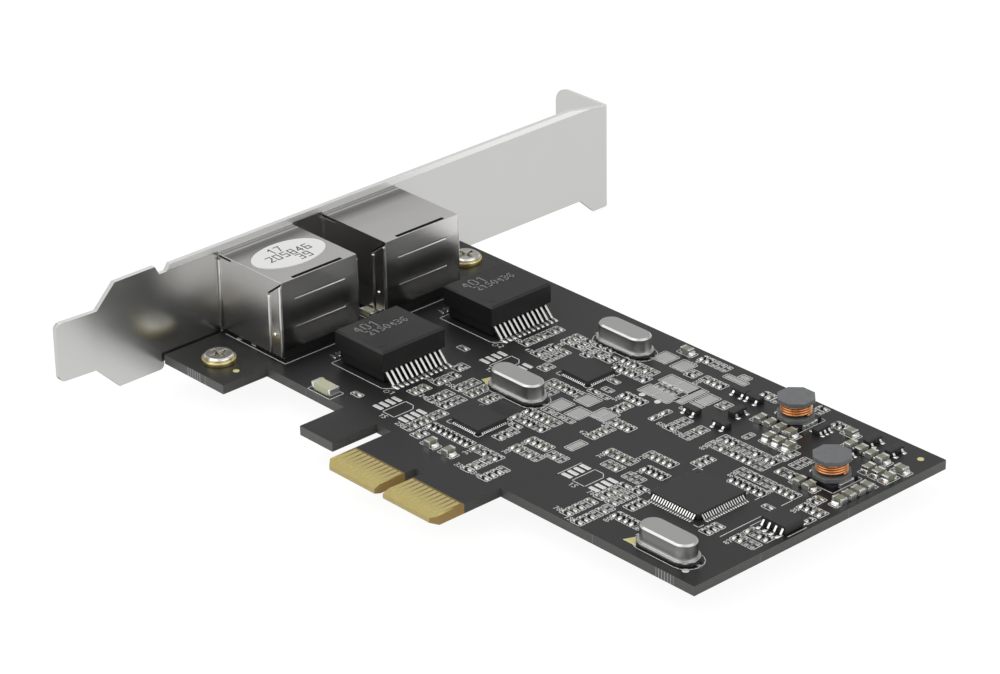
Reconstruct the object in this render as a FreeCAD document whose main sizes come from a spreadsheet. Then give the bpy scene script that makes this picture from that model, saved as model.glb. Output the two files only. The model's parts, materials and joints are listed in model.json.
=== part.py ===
import FreeCAD, Part
import os

import Sketcher

# Dual-port network interface card, in millimetres, +Z up from the component side.
# Origin: centre of the key notch, on the tip of the contact tongue, level with
# the board's component side. +X runs away from the bracket, along the board.
# +Y runs from the contact tongue towards the bracket's flange.

doc = FreeCAD.newDocument("network_interface_card")
sheet = doc.addObject("Spreadsheet::Sheet", "dims")

# Driving dimensions
DIMENSIONS = {
    # printed board, measured from the key notch
    "board_thick": 1.6,
    "board_far": 52.85,
    "board_top": 67.4,
    "board_low": 13.4,
    "board_bracket_gap": 0.4,
    "bracket_tab_far": 42.55,
    "hook_drop": 8.9,
    "hook_gap": 3.6,
    "hook_wide": 7.7,
    "tongue_half": 12.35,
    "tongue_corner": 1.0,
    "bevel_long": 1.2,
    "bevel_deep": 0.4,
    "key_wide": 1.9,
    "key_deep": 8.3,
    # gold contacts of the tongue
    "contact_pitch": 1.0,
    "contact_wide": 0.7,
    "contact_first": 1.5,
    "contact_count": 11,
    "contact_top": 5.7,
    "contact_thick": 0.05,
    # bracket, measured from its foot and its inner face
    "bracket_reach": 57.95,
    "bracket_foot": 15.45,
    "bracket_long": 120.02,
    "steel_thick": 0.86,
    "foot_long": 6.85,
    "foot_corner": 1.2,
    "foot_low": 1.7,
    "foot_high": 11.85,
    "foot_lean": 0.5,
    "plate_low": 2.65,
    "plate_high": 15.65,
    "plate_strip_high": 15.2,
    "shoulder_low": 4.3,
    "shoulder_high": 3.8,
    "bracket_shoulder_lead": 0.8,
    "edge_notch_start": 19.45,
    "edge_notch_wide": 3.0,
    "edge_notch_deep": 1.55,
    "notch_slant": 0.8,
    "ear_start": 112.75,
    "ear_slope": 3.2,
    "ear_low": 5.6,
    "crown_start": 110.5,
    "crown_high": 13.5,
    "flange_long": 12.95,
    "flange_bend": 0.4,
    "flange_corner": 2.8,
    "flange_slot_wide": 4.42,
    "flange_slot_deep": 5.0,
    "flange_slot_corner": 2.0,
    "flange_slot_in": 6.35,
    "mount_tab_bend": 0.3,
    "mount_tab_long": 14.0,
    "mount_tab_wide": 8.2,
    "mount_tab_first": 20.95,
    "mount_tab_pitch": 53.1,
    "mount_tab_corner": 2.0,
    "mount_relief": 0.8,
    "relief_corner": 0.9,
    "window_clear": 0.15,
    # screws that hold the board to the bracket's tabs
    "screw_in": 8.2,
    "screw_along": 4.0,
    "screw_shank": 3.0,
    "screw_hole": 3.4,
    "screw_head": 5.0,
    "screw_head_top": 4.3,
    "screw_head_tall": 0.6,
    "screw_head_rim": 0.3,
    "screw_past_tab": 0.4,
    "cross_long": 3.4,
    "cross_wide": 0.8,
    "cross_deep": 0.9,
    "land_wide": 5.6,
    "land_thick": 0.8,
    # jacks, measured from the bracket's inner face and each jack's own middle
    "jack_first": 24.45,
    "jack_pitch": 21.9,
    "jack_wide": 15.7,
    "jack_tall": 13.95,
    "jack_deep": 16.0,
    "jack_proud": 0.75,
    "shell_thick": 0.25,
    "shell_skirt": 0.6,
    "shell_rear_skirt": 1.8,
    "flap_long": 3.9,
    "flap_low_side": 11.3,
    "slot_half": 5.1,
    "slot_wide": 0.6,
    "crease_half": 5.2,
    "crease_high": 0.35,
    "crease_deep": 0.12,
    "crease_upper": 10.55,
    "crease_lower": 5.65,
    "relief_start": 0.1,
    "relief_long": 3.3,
    "relief_high": 0.35,
    "leg_wide": 1.2,
    "leg_in": 8.2,
    "tail_past_board": 1.1,
    "port_wide": 11.8,
    "port_low": 4.4,
    "port_tall": 6.8,
    "port_deep": 12.6,
    "latch_wide": 6.2,
    "latch_deep": 1.5,
    "keyway_wide": 3.3,
    "keyway_deep": 1.1,
    "peg_wide": 3.2,
    "peg_in": 6.5,
    "peg_wall_gap": 0.28,
    "wire_pitch": 1.02,
    "wire_wide": 0.42,
    "wire_thick": 0.3,
    "wire_front": 1.4,
    "wire_roof_gap": 0.9,
    "wire_tip_in": 8.8,
    "wire_tip_drop": 2.2,
    "wire_row": 11.2,
    "wire_row_gap": 2.54,
    "channel_wide": 9.0,
    "light_wide": 2.9,
    "light_tall": 1.6,
    "light_deep": 3.0,
    "light_wall_gap": 0.4,
    "light_drop": 1.25,
    # oval sticker on the first jack
    "sticker_in": 8.25,
    "sticker_side": 0.1,
    "sticker_long": 13.8,
    "sticker_wide": 8.6,
    "sticker_thick": 0.1,
    # line transformers
    "transformer_in": 27.4,
    "transformer_y": 29.1,
    "transformer_pitch": 23.2,
    "transformer_deep": 11.6,
    "transformer_wide": 13.1,
    "transformer_tall": 5.8,
    "transformer_ledge": 2.3,
    "transformer_inset": 0.6,
    "transformer_stand": 0.3,
    "transformer_edge": 0.35,
    "transformer_dimple": 1.3,
    "transformer_lead_pitch": 1.01,
    "transformer_lead_count": 12,
    "transformer_lead_wide": 0.42,
    "transformer_lead_thick": 0.25,
    "transformer_lead_reach": 2.1,
    "transformer_lead_foot": 0.75,
    # crystals
    "crystal_long": 10.4,
    "crystal_wide": 4.1,
    "crystal_tall": 3.4,
    "crystal_edge": 0.3,
    "crystal_flange": 0.4,
    "crystal_flange_thick": 0.35,
    "crystal_base_long": 11.5,
    "crystal_base_wide": 4.9,
    "crystal_base_thick": 0.45,
    "crystal_base_corner": 1.5,
    "crystal_lead_long": 0.8,
    "crystal_lead_wide": 0.6,
    "crystal_lead_thick": 0.2,
    # chips
    "bridge_x": 34.95,
    "bridge_y": 32.4,
    "bridge_wide": 10.0,
    "bridge_tall": 1.1,
    "bridge_stand": 0.1,
    "bridge_lead_pitch": 0.5,
    "bridge_lead_count": 18,
    "bridge_lead_wide": 0.22,
    "bridge_lead_thick": 0.12,
    "bridge_lead_reach": 1.0,
    "bridge_lead_foot": 0.45,
    "controller_x": 5.3,
    "controller_y": 25.3,
    "controller_pitch": 23.3,
    "controller_wide": 6.0,
    "controller_tall": 0.85,
    "chip_edge": 0.12,
    "chip_dimple": 0.8,
    "chip_dimple_deep": 0.06,
    "chip_dimple_in": 1.1,
    "memory_x": 49.4,
    "memory_y": 35.2,
    "memory_long": 4.9,
    "memory_wide": 3.9,
    "memory_tall": 1.5,
    "memory_stand": 0.1,
    "memory_lead_pitch": 1.27,
    "memory_lead_count": 4,
    "memory_lead_wide": 0.42,
    "memory_lead_thick": 0.2,
    "memory_lead_reach": 1.05,
    "memory_lead_foot": 0.5,
    # small transistors and regulator chips
    "transistor_long": 2.9,
    "transistor_wide": 1.3,
    "transistor_tall": 1.0,
    "transistor_stand": 0.05,
    "transistor_edge": 0.15,
    "transistor_lead_pitch": 1.9,
    "transistor_lead_wide": 0.4,
    "transistor_lead_thick": 0.12,
    "transistor_lead_reach": 0.55,
    "transistor_lead_foot": 0.25,
    "regulator_lead_pitch": 0.95,
    # drum inductors
    "inductor_base": 5.6,
    "inductor_base_thick": 0.7,
    "inductor_drum": 5.8,
    "inductor_rim": 0.75,
    "inductor_core": 2.6,
    "inductor_winding": 5.1,
    "inductor_tall": 4.3,
    "inductor_terminal_wide": 3.4,
    "inductor_terminal_thick": 0.15,
    # ceramic capacitors, chip resistors and the pale capacitor, whole lengths
    "ceramic_long": 2.0,
    "ceramic_wide": 1.25,
    "ceramic_tall": 1.0,
    "ceramic_end": 0.4,
    "resistor_long": 1.0,
    "resistor_wide": 0.5,
    "resistor_tall": 0.35,
    "resistor_end": 0.22,
    "filter_long": 4.5,
    "filter_wide": 2.0,
    "filter_tall": 1.3,
    "filter_end": 0.6,
    "filter_in": 28.15,
    "filter_y": 14.9,
    "spark_long": 3.0,
    "spark_wide": 1.5,
    "spark_tall": 1.0,
    "spark_end": 0.5,
    "spark_in": 12.4,
    "spark_gap": 0.25,
}

WIRE_COUNT = 8
# half a side of an octagon, as a share of half its width across the flats
OCTAGON_SIDE = 2 ** 0.5 - 1

# Places of the parts that come in several copies: x, y and turn in degrees
CRYSTALS = {
    "crystal_near": (-8.25, 36.1, 0),
    "crystal_upper": (-8.05, 59.4, 0),
    "crystal_far": (43.25, 17.9, 0),
}
INDUCTORS = {
    "inductor_upper": (28.35, 60.5, 0),
    "inductor_far": (44.85, 50.7, 0),
}
TRANSISTORS = {
    "transistor_far_upper": (45.9, 63.5, 0),
    "transistor_top_edge": (41.5, 63.5, 0),
    "transistor_mid_right": (21.75, 51.0, -90),
    "transistor_mid_left": (15.35, 51.0, -90),
    "transistor_mid_upper": (20.6, 55.6, 0),
    "transistor_high_left": (16.4, 60.8, -90),
    "transistor_high_right": (19.4, 60.8, -90),
}
REGULATORS = {
    "regulator_upper": (33.6, 60.6, 0),
    "regulator_far": (41.5, 57.3, 0),
}

# Rows of small chips: first x, first y, step x, step y, turn, copies
CERAMIC_ROWS = {
    "ceramic_below_inductor": (24.8, 56.4, 2.1, 0, 90, 4),
    "ceramic_above_far_inductor": (40.2, 60.1, 2.1, 0, 90, 4),
    "ceramic_far_column": (50.6, 46.2, 0, 2.0, 0, 4),
    "ceramic_below_far_inductor": (42.6, 46.2, 1.9, 0, 90, 2),
    "ceramic_low_edge": (-4.95, 14.9, 4.0, 0, 90, 2),
}
RESISTOR_ROWS = {
    "resistor_low_row": (-9.45, 19.2, 1.2, 0, 90, 8),
    "resistor_bridge_left": (23.45, 33.1, 1.2, 0, 90, 4),
    "resistor_bridge_top": (34.95, 40.0, 1.2, 0, 90, 6),
}


class Size:
    """A length that knows its value and the sheet expression it comes from."""

    def __init__(self, value, text=""):
        self.value = float(value)
        self.text = text or str(float(value))
        self.tied = bool(text)

    def joined(self, other, sign, value):
        other = as_size(other)
        made = Size(value, f"({self.text} {sign} {other.text})")
        made.tied = self.tied or other.tied
        return made

    def __add__(self, other):
        return self.joined(other, "+", self.value + as_size(other).value)

    def __sub__(self, other):
        return self.joined(other, "-", self.value - as_size(other).value)

    def __mul__(self, other):
        return self.joined(other, "*", self.value * as_size(other).value)

    def __truediv__(self, other):
        return self.joined(other, "/", self.value / as_size(other).value)

    def __radd__(self, other):
        return as_size(other) + self

    def __rsub__(self, other):
        return as_size(other) - self

    def __neg__(self):
        return as_size(0) - self

    def __float__(self):
        return self.value


def as_size(value):
    """Returns a plain number as a Size that is tied to nothing."""
    return value if isinstance(value, Size) else Size(value)


class Named:
    """The sheet's dimensions, read as size.board_thick and so on."""


size = Named()


def put_in_sheet(row, alias, value):
    """Writes one dimension in the sheet and makes it readable by its alias."""
    sheet.set(f"A{row}", alias.replace("_", " "))
    sheet.set(f"B{row}", str(value))
    sheet.setAlias(f"B{row}", alias)
    setattr(size, alias, Size(value, f"dims.{alias}"))


def fill_sheet():
    """Fills the sheet with the dimensions and with the places of the small parts."""
    entries = list(DIMENSIONS.items())
    for group in (CRYSTALS, INDUCTORS, TRANSISTORS, REGULATORS):
        for name, (x, y, turn) in group.items():
            entries += [(f"{name}_x", x), (f"{name}_y", y), (f"{name}_turn", turn)]
    for group in (CERAMIC_ROWS, RESISTOR_ROWS):
        for name, (x, y, step_x, step_y, turn, copies) in group.items():
            entries += [(f"{name}_x", x), (f"{name}_y", y), (f"{name}_turn", turn)]
            entries += [(f"{name}_step_x", step_x), (f"{name}_step_y", step_y)]
    for row, (alias, value) in enumerate(entries, start=1):
        put_in_sheet(row, alias, value)
    doc.recompute()


fill_sheet()


# Helpers that tie features to the sheet
def bind(thing, prop, value):
    """Sets one property to a Size, through its expression when it has one."""
    value = as_size(value)
    thing.setExpression(prop, value.text)


def place(thing, x=0, y=0, z=0):
    """Ties the place of a body or primitive to the sheet."""
    for axis, value in zip("xyz", (x, y, z)):
        bind(thing, f"Placement.Base.{axis}", value)


def new_body(label):
    body = doc.addObject("PartDesign::Body", label)
    body.Label = label
    return body


def origin_feature(body, role):
    return next(item for item in body.Origin.OriginFeatures if item.Role == role)


def sketch_on(body, role, name, offset=0):
    """Starts a sketch on one of the body's origin planes, lifted by offset."""
    sketch = body.newObject("Sketcher::SketchObject", name)
    sketch.AttachmentSupport = [(origin_feature(body, role), "")]
    sketch.MapMode = "FlatFace"
    bind(sketch, "AttachmentOffset.Base.z", offset)
    return sketch


def pin_point(sketch, element, vertex, u, v):
    """Ties one sketch point to the sketch's origin by two distances."""
    for kind, value in (("DistanceX", as_size(u)), ("DistanceY", as_size(v))):
        constraint = Sketcher.Constraint(kind, -1, 1, element, vertex, value.value)
        number = sketch.addConstraint(constraint)
        if value.tied:
            sketch.setExpression(f"Constraints[{number}]", value.text)


def outline(sketch, corners):
    """Draws a closed outline through corners and ties each corner to the sheet."""
    first = sketch.GeometryCount
    count = len(corners)
    points = [FreeCAD.Vector(float(u), float(v), 0) for u, v in corners]
    for n in range(count):
        sketch.addGeometry(Part.LineSegment(points[n], points[(n + 1) % count]))
    for n in range(count):
        after = first + (n + 1) % count
        sketch.addConstraint(Sketcher.Constraint("Coincident", first + n, 2, after, 1))
    for n, (u, v) in enumerate(corners):
        pin_point(sketch, first + n, 1, u, v)


def rectangle(sketch, u0, u1, v0, v1):
    outline(sketch, [(u0, v0), (u1, v0), (u1, v1), (u0, v1)])


def centred_rectangle(sketch, wide, tall):
    rectangle(sketch, -wide / 2, wide / 2, -tall / 2, tall / 2)


def octagon(sketch, across):
    """Draws an eight-sided outline, this wide across its flats."""
    half = across / 2
    side = half * OCTAGON_SIDE
    outline(sketch, [
        (half, -side), (half, side), (side, half), (-side, half),
        (-half, side), (-half, -side), (-side, -half), (side, -half),
    ])


def circle(sketch, u, v, diameter):
    """Draws a circle with its centre and diameter tied to the sheet."""
    centre = FreeCAD.Vector(float(u), float(v), 0)
    made = sketch.addGeometry(Part.Circle(centre, FreeCAD.Vector(0, 0, 1), float(diameter) / 2))
    pin_point(sketch, made, 3, u, v)
    number = sketch.addConstraint(Sketcher.Constraint("Diameter", made, float(diameter)))
    sketch.setExpression(f"Constraints[{number}]", as_size(diameter).text)


def stadium(sketch, long, wide):
    """Draws a slot outline along u: two straight sides and two half circles."""
    radius = wide / 2
    half = (long - wide) / 2
    up = FreeCAD.Vector(0, 0, 1)
    ends = []
    for side, start in ((half, -90), (-half, 90)):
        centre = FreeCAD.Vector(float(side), 0, 0)
        ring = Part.Circle(centre, up, float(radius))
        first = FreeCAD.Units.Quantity(f"{start} deg").getValueAs("rad").Value
        last = FreeCAD.Units.Quantity(f"{start + 180} deg").getValueAs("rad").Value
        ends.append(sketch.addGeometry(Part.ArcOfCircle(ring, first, last)))
    right, left = ends
    corner = FreeCAD.Vector(float(half), float(radius), 0)
    other = FreeCAD.Vector(-float(half), float(radius), 0)
    top = sketch.addGeometry(Part.LineSegment(corner, other))
    low = sketch.addGeometry(Part.LineSegment(-1 * corner, -1 * other))
    joints = ((right, 2, top, 1), (top, 2, left, 1), (left, 2, low, 1), (low, 2, right, 1))
    for first, end, second, start in joints:
        sketch.addConstraint(Sketcher.Constraint("Tangent", first, end, second, start))
    sketch.addConstraint(Sketcher.Constraint("Horizontal", top))
    pin_point(sketch, right, 3, half, 0)
    pin_point(sketch, left, 3, -half, 0)
    number = sketch.addConstraint(Sketcher.Constraint("Radius", right, float(radius)))
    sketch.setExpression(f"Constraints[{number}]", radius.text)


def ellipse(sketch, long, wide):
    """Draws an ellipse about the sketch's origin, its long axis along u."""
    tip = FreeCAD.Vector(float(long) / 2, 0, 0)
    side = FreeCAD.Vector(0, float(wide) / 2, 0)
    oval = sketch.addGeometry(Part.Ellipse(tip, side, FreeCAD.Vector(0, 0, 0)))
    sketch.exposeInternalGeometry(oval)
    long_axis = oval + 1
    wide_axis = oval + 2
    pin_point(sketch, oval, 3, 0, 0)
    sketch.addConstraint(Sketcher.Constraint("Horizontal", long_axis))
    for axis, length in ((long_axis, long), (wide_axis, wide)):
        number = sketch.addConstraint(Sketcher.Constraint("Distance", axis, float(length)))
        sketch.setExpression(f"Constraints[{number}]", length.text)


def pad(body, sketch, length, name, back=False):
    """Pads a sketch along its plane's normal, or backwards."""
    feature = body.newObject("PartDesign::Pad", name)
    feature.Profile = sketch
    bind(feature, "Length", length)
    feature.Reversed = back
    body.Tip = feature
    return feature


def cut(body, sketch, name, depth=None, back=False):
    """Pockets a sketch, through everything when no depth is given."""
    doc.recompute()
    before = body.Tip.Shape.Volume
    feature = body.newObject("PartDesign::Pocket", name)
    feature.Profile = sketch
    feature.Reversed = back
    if depth is None:
        feature.Type = "ThroughAll"
        feature.SideType = "Symmetric"
    else:
        bind(feature, "Length", depth)
    body.Tip = feature
    doc.recompute()
    if feature.Shape.Volume >= before:
        raise RuntimeError(f"{name} cuts nothing from {body.Label}")
    return feature


def edges_where(feature, test):
    """Names the edges whose two ends both pass a test."""
    doc.recompute()
    names = []
    for number, edge in enumerate(feature.Shape.Edges, start=1):
        ends = [vertex.Point for vertex in edge.Vertexes]
        if len(ends) == 2 and test(*ends):
            names.append(f"Edge{number}")
    if not names:
        raise RuntimeError(f"no edge found on {feature.Label}")
    return names


def near(value, goal):
    return abs(value - float(goal)) < 1e-4


def round_edges(body, radius, name, test):
    base = body.Tip
    feature = body.newObject("PartDesign::Fillet", name)
    feature.Base = (base, edges_where(base, test))
    bind(feature, "Radius", radius)
    body.Tip = feature
    return feature


def bevel_edges(body, width, name, test):
    base = body.Tip
    feature = body.newObject("PartDesign::Chamfer", name)
    feature.Base = (base, edges_where(base, test))
    bind(feature, "Size", width)
    body.Tip = feature
    return feature


def repeat(body, original, role, step, copies, name):
    """Repeats a feature in a row along one of the body's axes."""
    feature = body.newObject("PartDesign::LinearPattern", name)
    feature.Originals = [original]
    feature.Direction = (origin_feature(body, role), [""])
    feature.Mode = "Spacing"
    bind(feature, "Offset", step)
    bind(feature, "Occurrences", copies)
    body.Tip = feature
    return feature


def mirror_whole(body, role, name):
    """Mirrors everything modelled so far about one of the body's planes."""
    doc.recompute()
    feature = body.newObject("PartDesign::Mirrored", name)
    feature.TransformMode = "Whole shape"
    feature.MirrorPlane = (origin_feature(body, role), [""])
    body.Tip = feature
    return feature


def turn_whole(body, copies, name):
    """Repeats everything modelled so far around the body's upright axis."""
    doc.recompute()
    feature = body.newObject("PartDesign::PolarPattern", name)
    feature.TransformMode = "Whole shape"
    feature.Axis = (origin_feature(body, "Z_Axis"), [""])
    feature.Angle = 360
    feature.Occurrences = copies
    body.Tip = feature
    return feature


def group_copies(label, master, places):
    """Groups linked copies of a master body, each at (x, y, turn)."""
    links = []
    for number, (x, y, turn) in enumerate(places, start=1):
        link = doc.addObject("App::Link", f"{label}_{number}")
        link.LinkedObject = master
        link.LinkTransform = False
        place(link, x, y)
        bind(link, "Placement.Rotation.Angle", turn)
        links.append(link)
    group = doc.addObject("Part::Compound", label)
    group.Label = label
    group.Links = links
    return group


def named_places(names):
    """Reads the places of single parts from the sheet."""
    return [
        tuple(getattr(size, f"{name}_{part}") for part in ("x", "y", "turn")) for name in names
    ]


def row_places(rows):
    """Works out every place of rows that start at a place and go on by a step."""
    places = []
    for name, row in rows.items():
        x, y, turn = named_places([name])[0]
        step_x = getattr(size, f"{name}_step_x")
        step_y = getattr(size, f"{name}_step_y")
        places += [(x + step_x * n, y + step_y * n, turn) for n in range(row[-1])]
    return places


# Printed circuit board
def make_board():
    """The board: outline with bracket tab, hook tab and contact tongue, and its holes."""
    body = new_body("circuit_board")
    low = size.board_low
    drop = low - size.hook_drop
    near_edge = size.board_bracket_gap - size.bracket_reach
    hook_end = -(size.tongue_half + size.hook_gap)
    half = size.tongue_half
    corner = size.tongue_corner
    key = size.key_wide / 2
    face = sketch_on(body, "XY_Plane", "board_outline")
    outline(face, [
        (near_edge, size.board_top),
        (near_edge, drop),
        (-size.bracket_tab_far, drop),
        (-size.bracket_tab_far, low),
        (hook_end - size.hook_wide, low),
        (hook_end - size.hook_wide, drop),
        (hook_end, drop),
        (hook_end, low),
        (-half, low),
        (-half, corner),
        (-half + corner, 0),
        (-key, 0),
        (-key, size.key_deep),
        (key, size.key_deep),
        (key, 0),
        (half - corner, 0),
        (half, corner),
        (half, low),
        (size.board_far, low),
        (size.board_far, size.board_top),
    ])
    pad(body, face, size.board_thick, "board_sheet", back=True)
    bevel = sketch_on(body, "YZ_Plane", "tip_bevel")
    thick = size.board_thick
    outline(bevel, [(0, 0), (size.bevel_long, 0), (0, -size.bevel_deep)])
    outline(bevel, [
        (0, -thick), (size.bevel_long, -thick), (0, size.bevel_deep - thick)])
    cut(body, bevel, "tip_bevel_cut")
    holes = sketch_on(body, "XY_Plane", "board_holes")
    for y in screw_heights():
        circle(holes, size.screw_in - size.bracket_reach, y, size.screw_hole)
    peg_spread = beside_wall(size.peg_wall_gap, size.peg_wide)
    for y in jack_heights():
        for side in (-1, 1):
            circle(holes, size.peg_in - size.bracket_reach, y + peg_spread * side,
                   size.peg_wide)
            leg_holes(holes, y, side)
        wire_holes(holes, y)
    cut(body, holes, "board_hole_cut")
    return body


def leg_holes(holes, y, side):
    """A slot in the board for one leg of a jack's shell."""
    outer = size.jack_wide / 2
    inner = outer - size.shell_thick
    leg = size.leg_in - size.bracket_reach
    edges = sorted((inner * side, outer * side), key=float)
    rectangle(holes, leg - size.leg_wide / 2, leg + size.leg_wide / 2,
              y + edges[0], y + edges[1])


def wire_holes(holes, y):
    """Eight holes in two staggered rows for the tails of a jack's contacts."""
    for number in range(WIRE_COUNT):
        x = wire_row_x(number) - size.bracket_reach
        middle = y + wire_side(number)
        rectangle(holes, x, x + size.wire_thick,
                  middle - size.wire_wide / 2, middle + size.wire_wide / 2)


def wire_row_x(number):
    """Distance of a contact's tail from the bracket: odd ones stand further back."""
    return size.wire_row + size.wire_row_gap * (number % 2)


def wire_side(number):
    """Place of a contact across the jack."""
    return size.wire_pitch * (number - (WIRE_COUNT - 1) / 2)


def screw_heights():
    """Heights of the two screws, each at the same place on its mounting tab."""
    first = size.mount_tab_first + size.screw_along - size.bracket_foot
    return [first, first + size.mount_tab_pitch]


def jack_heights():
    return [size.jack_first, size.jack_first + size.jack_pitch]


# Gold contacts of the tongue
def make_contacts():
    """Two groups of gold strips, on the component side and on the solder side."""
    for label, height, back in (
        ("edge_contacts_component_side", as_size(0), False),
        ("edge_contacts_solder_side", -size.board_thick, True),
    ):
        body = new_body(label)
        face = sketch_on(body, "XY_Plane", label + "_strip", height)
        rectangle(face, size.contact_first - size.contact_wide / 2,
                  size.contact_first + size.contact_wide / 2,
                  size.bevel_long, size.contact_top)
        strip = pad(body, face, size.contact_thick, label + "_pad", back=back)
        repeat(body, strip, "X_Axis", size.contact_pitch, size.contact_count, label + "_row")
        mirror_whole(body, "YZ_Plane", label + "_mirror")


# Bracket
def make_bracket():
    """One folded steel sheet: foot, plate, flange, windows and two mounting tabs."""
    body = new_body("bracket")
    thick = size.steel_thick
    long = size.bracket_long
    low = -size.ear_low
    # the sheet seen from its lower edge: leaning foot, plate and flange
    fold = sketch_on(body, "XY_Plane", "bracket_fold", low)
    outline(fold, [
        (-size.foot_lean, 0),
        (0, size.foot_long),
        (0, long),
        (-size.flange_long, long),
        (-size.flange_long, long - thick),
        (-thick, long - thick),
        (-thick, size.foot_long),
        (-thick - size.foot_lean, 0),
    ])
    pad(body, fold, size.plate_high + size.ear_low, "bracket_sheet")
    bend = size.flange_bend
    round_edges(body, bend, "flange_inner_bend",
                lambda a, b: all(near(p.x, -thick) and near(p.y, long - thick) for p in (a, b)))
    round_edges(body, bend + thick, "flange_outer_bend",
                lambda a, b: all(near(p.x, 0) and near(p.y, long) for p in (a, b)))
    shape = sketch_on(body, "YZ_Plane", "bracket_outline")
    margin = thick
    rectangle(shape, -margin, long + margin, low - margin, size.plate_high + margin)
    outline(shape, bracket_corners())
    cut(body, shape, "bracket_trim")
    round_edges(body, size.foot_corner, "foot_corners",
                lambda a, b: near(a.y, 0) and near(b.y, 0) and near(a.z, b.z))
    beside_tab = size.mount_tab_first - size.mount_relief
    round_edges(body, size.relief_corner, "plate_corner_by_tab",
                lambda a, b: all(near(p.y, beside_tab) and near(p.z, -size.plate_low)
                                 for p in (a, b)))
    add_mounting_tabs(body)
    trim_flange(body)
    windows = sketch_on(body, "YZ_Plane", "port_windows")
    for y in jack_heights():
        middle = y + size.bracket_foot
        half = size.jack_wide / 2 + size.window_clear
        rectangle(windows, middle - half, middle + half, -size.window_clear,
                  size.jack_tall + size.window_clear)
    cut(body, windows, "port_window_cut", depth=thick)
    place(body, -size.bracket_reach, -size.bracket_foot)
    return body


def bracket_corners():
    """Corners of the bracket's outline, height along the slot first."""
    tab_bottom = -(size.board_thick + size.steel_thick)
    relief_top = size.mount_tab_bend + size.steel_thick + tab_bottom
    corners = [
        (0, size.foot_high),
        (0, size.foot_low),
        (size.foot_long, size.foot_low),
        (size.foot_long + size.shoulder_low, -size.plate_low),
    ]
    for number in range(2):
        start = size.mount_tab_first + size.mount_tab_pitch * number
        end = start + size.mount_tab_wide
        corners += [
            (start - size.mount_relief, -size.plate_low),
            (start - size.mount_relief, relief_top),
            (start, relief_top),
            (start, tab_bottom),
            (end, tab_bottom),
            (end, relief_top),
            (end + size.mount_relief, relief_top),
            (end + size.mount_relief, -size.plate_low),
        ]
    notch_end = size.edge_notch_start + size.edge_notch_wide
    notch_low = size.plate_high - size.edge_notch_deep
    shoulder_start = size.foot_long + size.bracket_shoulder_lead
    return corners + [
        (size.ear_start, -size.plate_low),
        (size.ear_start + size.ear_slope, -size.ear_low),
        (size.bracket_long, -size.ear_low),
        (size.bracket_long, size.crown_high),
        (size.crown_start, size.plate_strip_high),
        (notch_end, size.plate_strip_high),
        (notch_end - size.notch_slant, notch_low),
        (size.edge_notch_start + size.notch_slant, notch_low),
        (size.edge_notch_start, size.plate_high),
        (shoulder_start + size.shoulder_high, size.plate_high),
        (shoulder_start, size.foot_high),
    ]


def add_mounting_tabs(body):
    """Two tabs folded under the board, with their bends, corners and screw holes."""
    thick = size.steel_thick
    top = -size.board_thick
    bottom = top - thick
    tabs = sketch_on(body, "XY_Plane", "mounting_tabs", top)
    for number in range(2):
        start = size.mount_tab_first + size.mount_tab_pitch * number
        rectangle(tabs, 0, size.mount_tab_long, start, start + size.mount_tab_wide)
    pad(body, tabs, thick, "mounting_tab_sheets", back=True)
    round_edges(body, size.mount_tab_bend, "tab_inner_bends",
                lambda a, b: all(near(p.x, 0) and near(p.z, top) for p in (a, b)))
    round_edges(body, size.mount_tab_bend + thick, "tab_outer_bends",
                lambda a, b: all(near(p.x, -thick) and near(p.z, bottom) for p in (a, b)))
    far = size.mount_tab_long
    round_edges(body, size.mount_tab_corner, "tab_corners",
                lambda a, b: near(a.x, far) and near(b.x, far) and near(a.y, b.y))
    holes = sketch_on(body, "XY_Plane", "tab_holes", top)
    for y in screw_heights():
        circle(holes, size.screw_in, y + size.bracket_foot, size.screw_shank)
    cut(body, holes, "tab_hole_cut", depth=thick)


def trim_flange(body):
    """Rounds the flange's outer corners and cuts its open screw slot."""
    far = -size.flange_long
    round_edges(body, size.flange_corner, "flange_corners",
                lambda a, b: near(a.x, far) and near(b.x, far) and not near(a.y, b.y))
    slot = sketch_on(body, "XZ_Plane", "flange_slot", -size.bracket_long)
    half = size.flange_slot_wide / 2
    middle = -size.flange_slot_in
    end = size.flange_slot_deep - size.ear_low
    rectangle(slot, middle - half, middle + half, -size.ear_low - half, end)
    cut(body, slot, "flange_slot_cut", depth=size.steel_thick, back=True)
    round_edges(body, size.flange_slot_corner, "flange_slot_end",
                lambda a, b: near(a.z, end) and near(b.z, end) and near(a.x, b.x))


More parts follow.
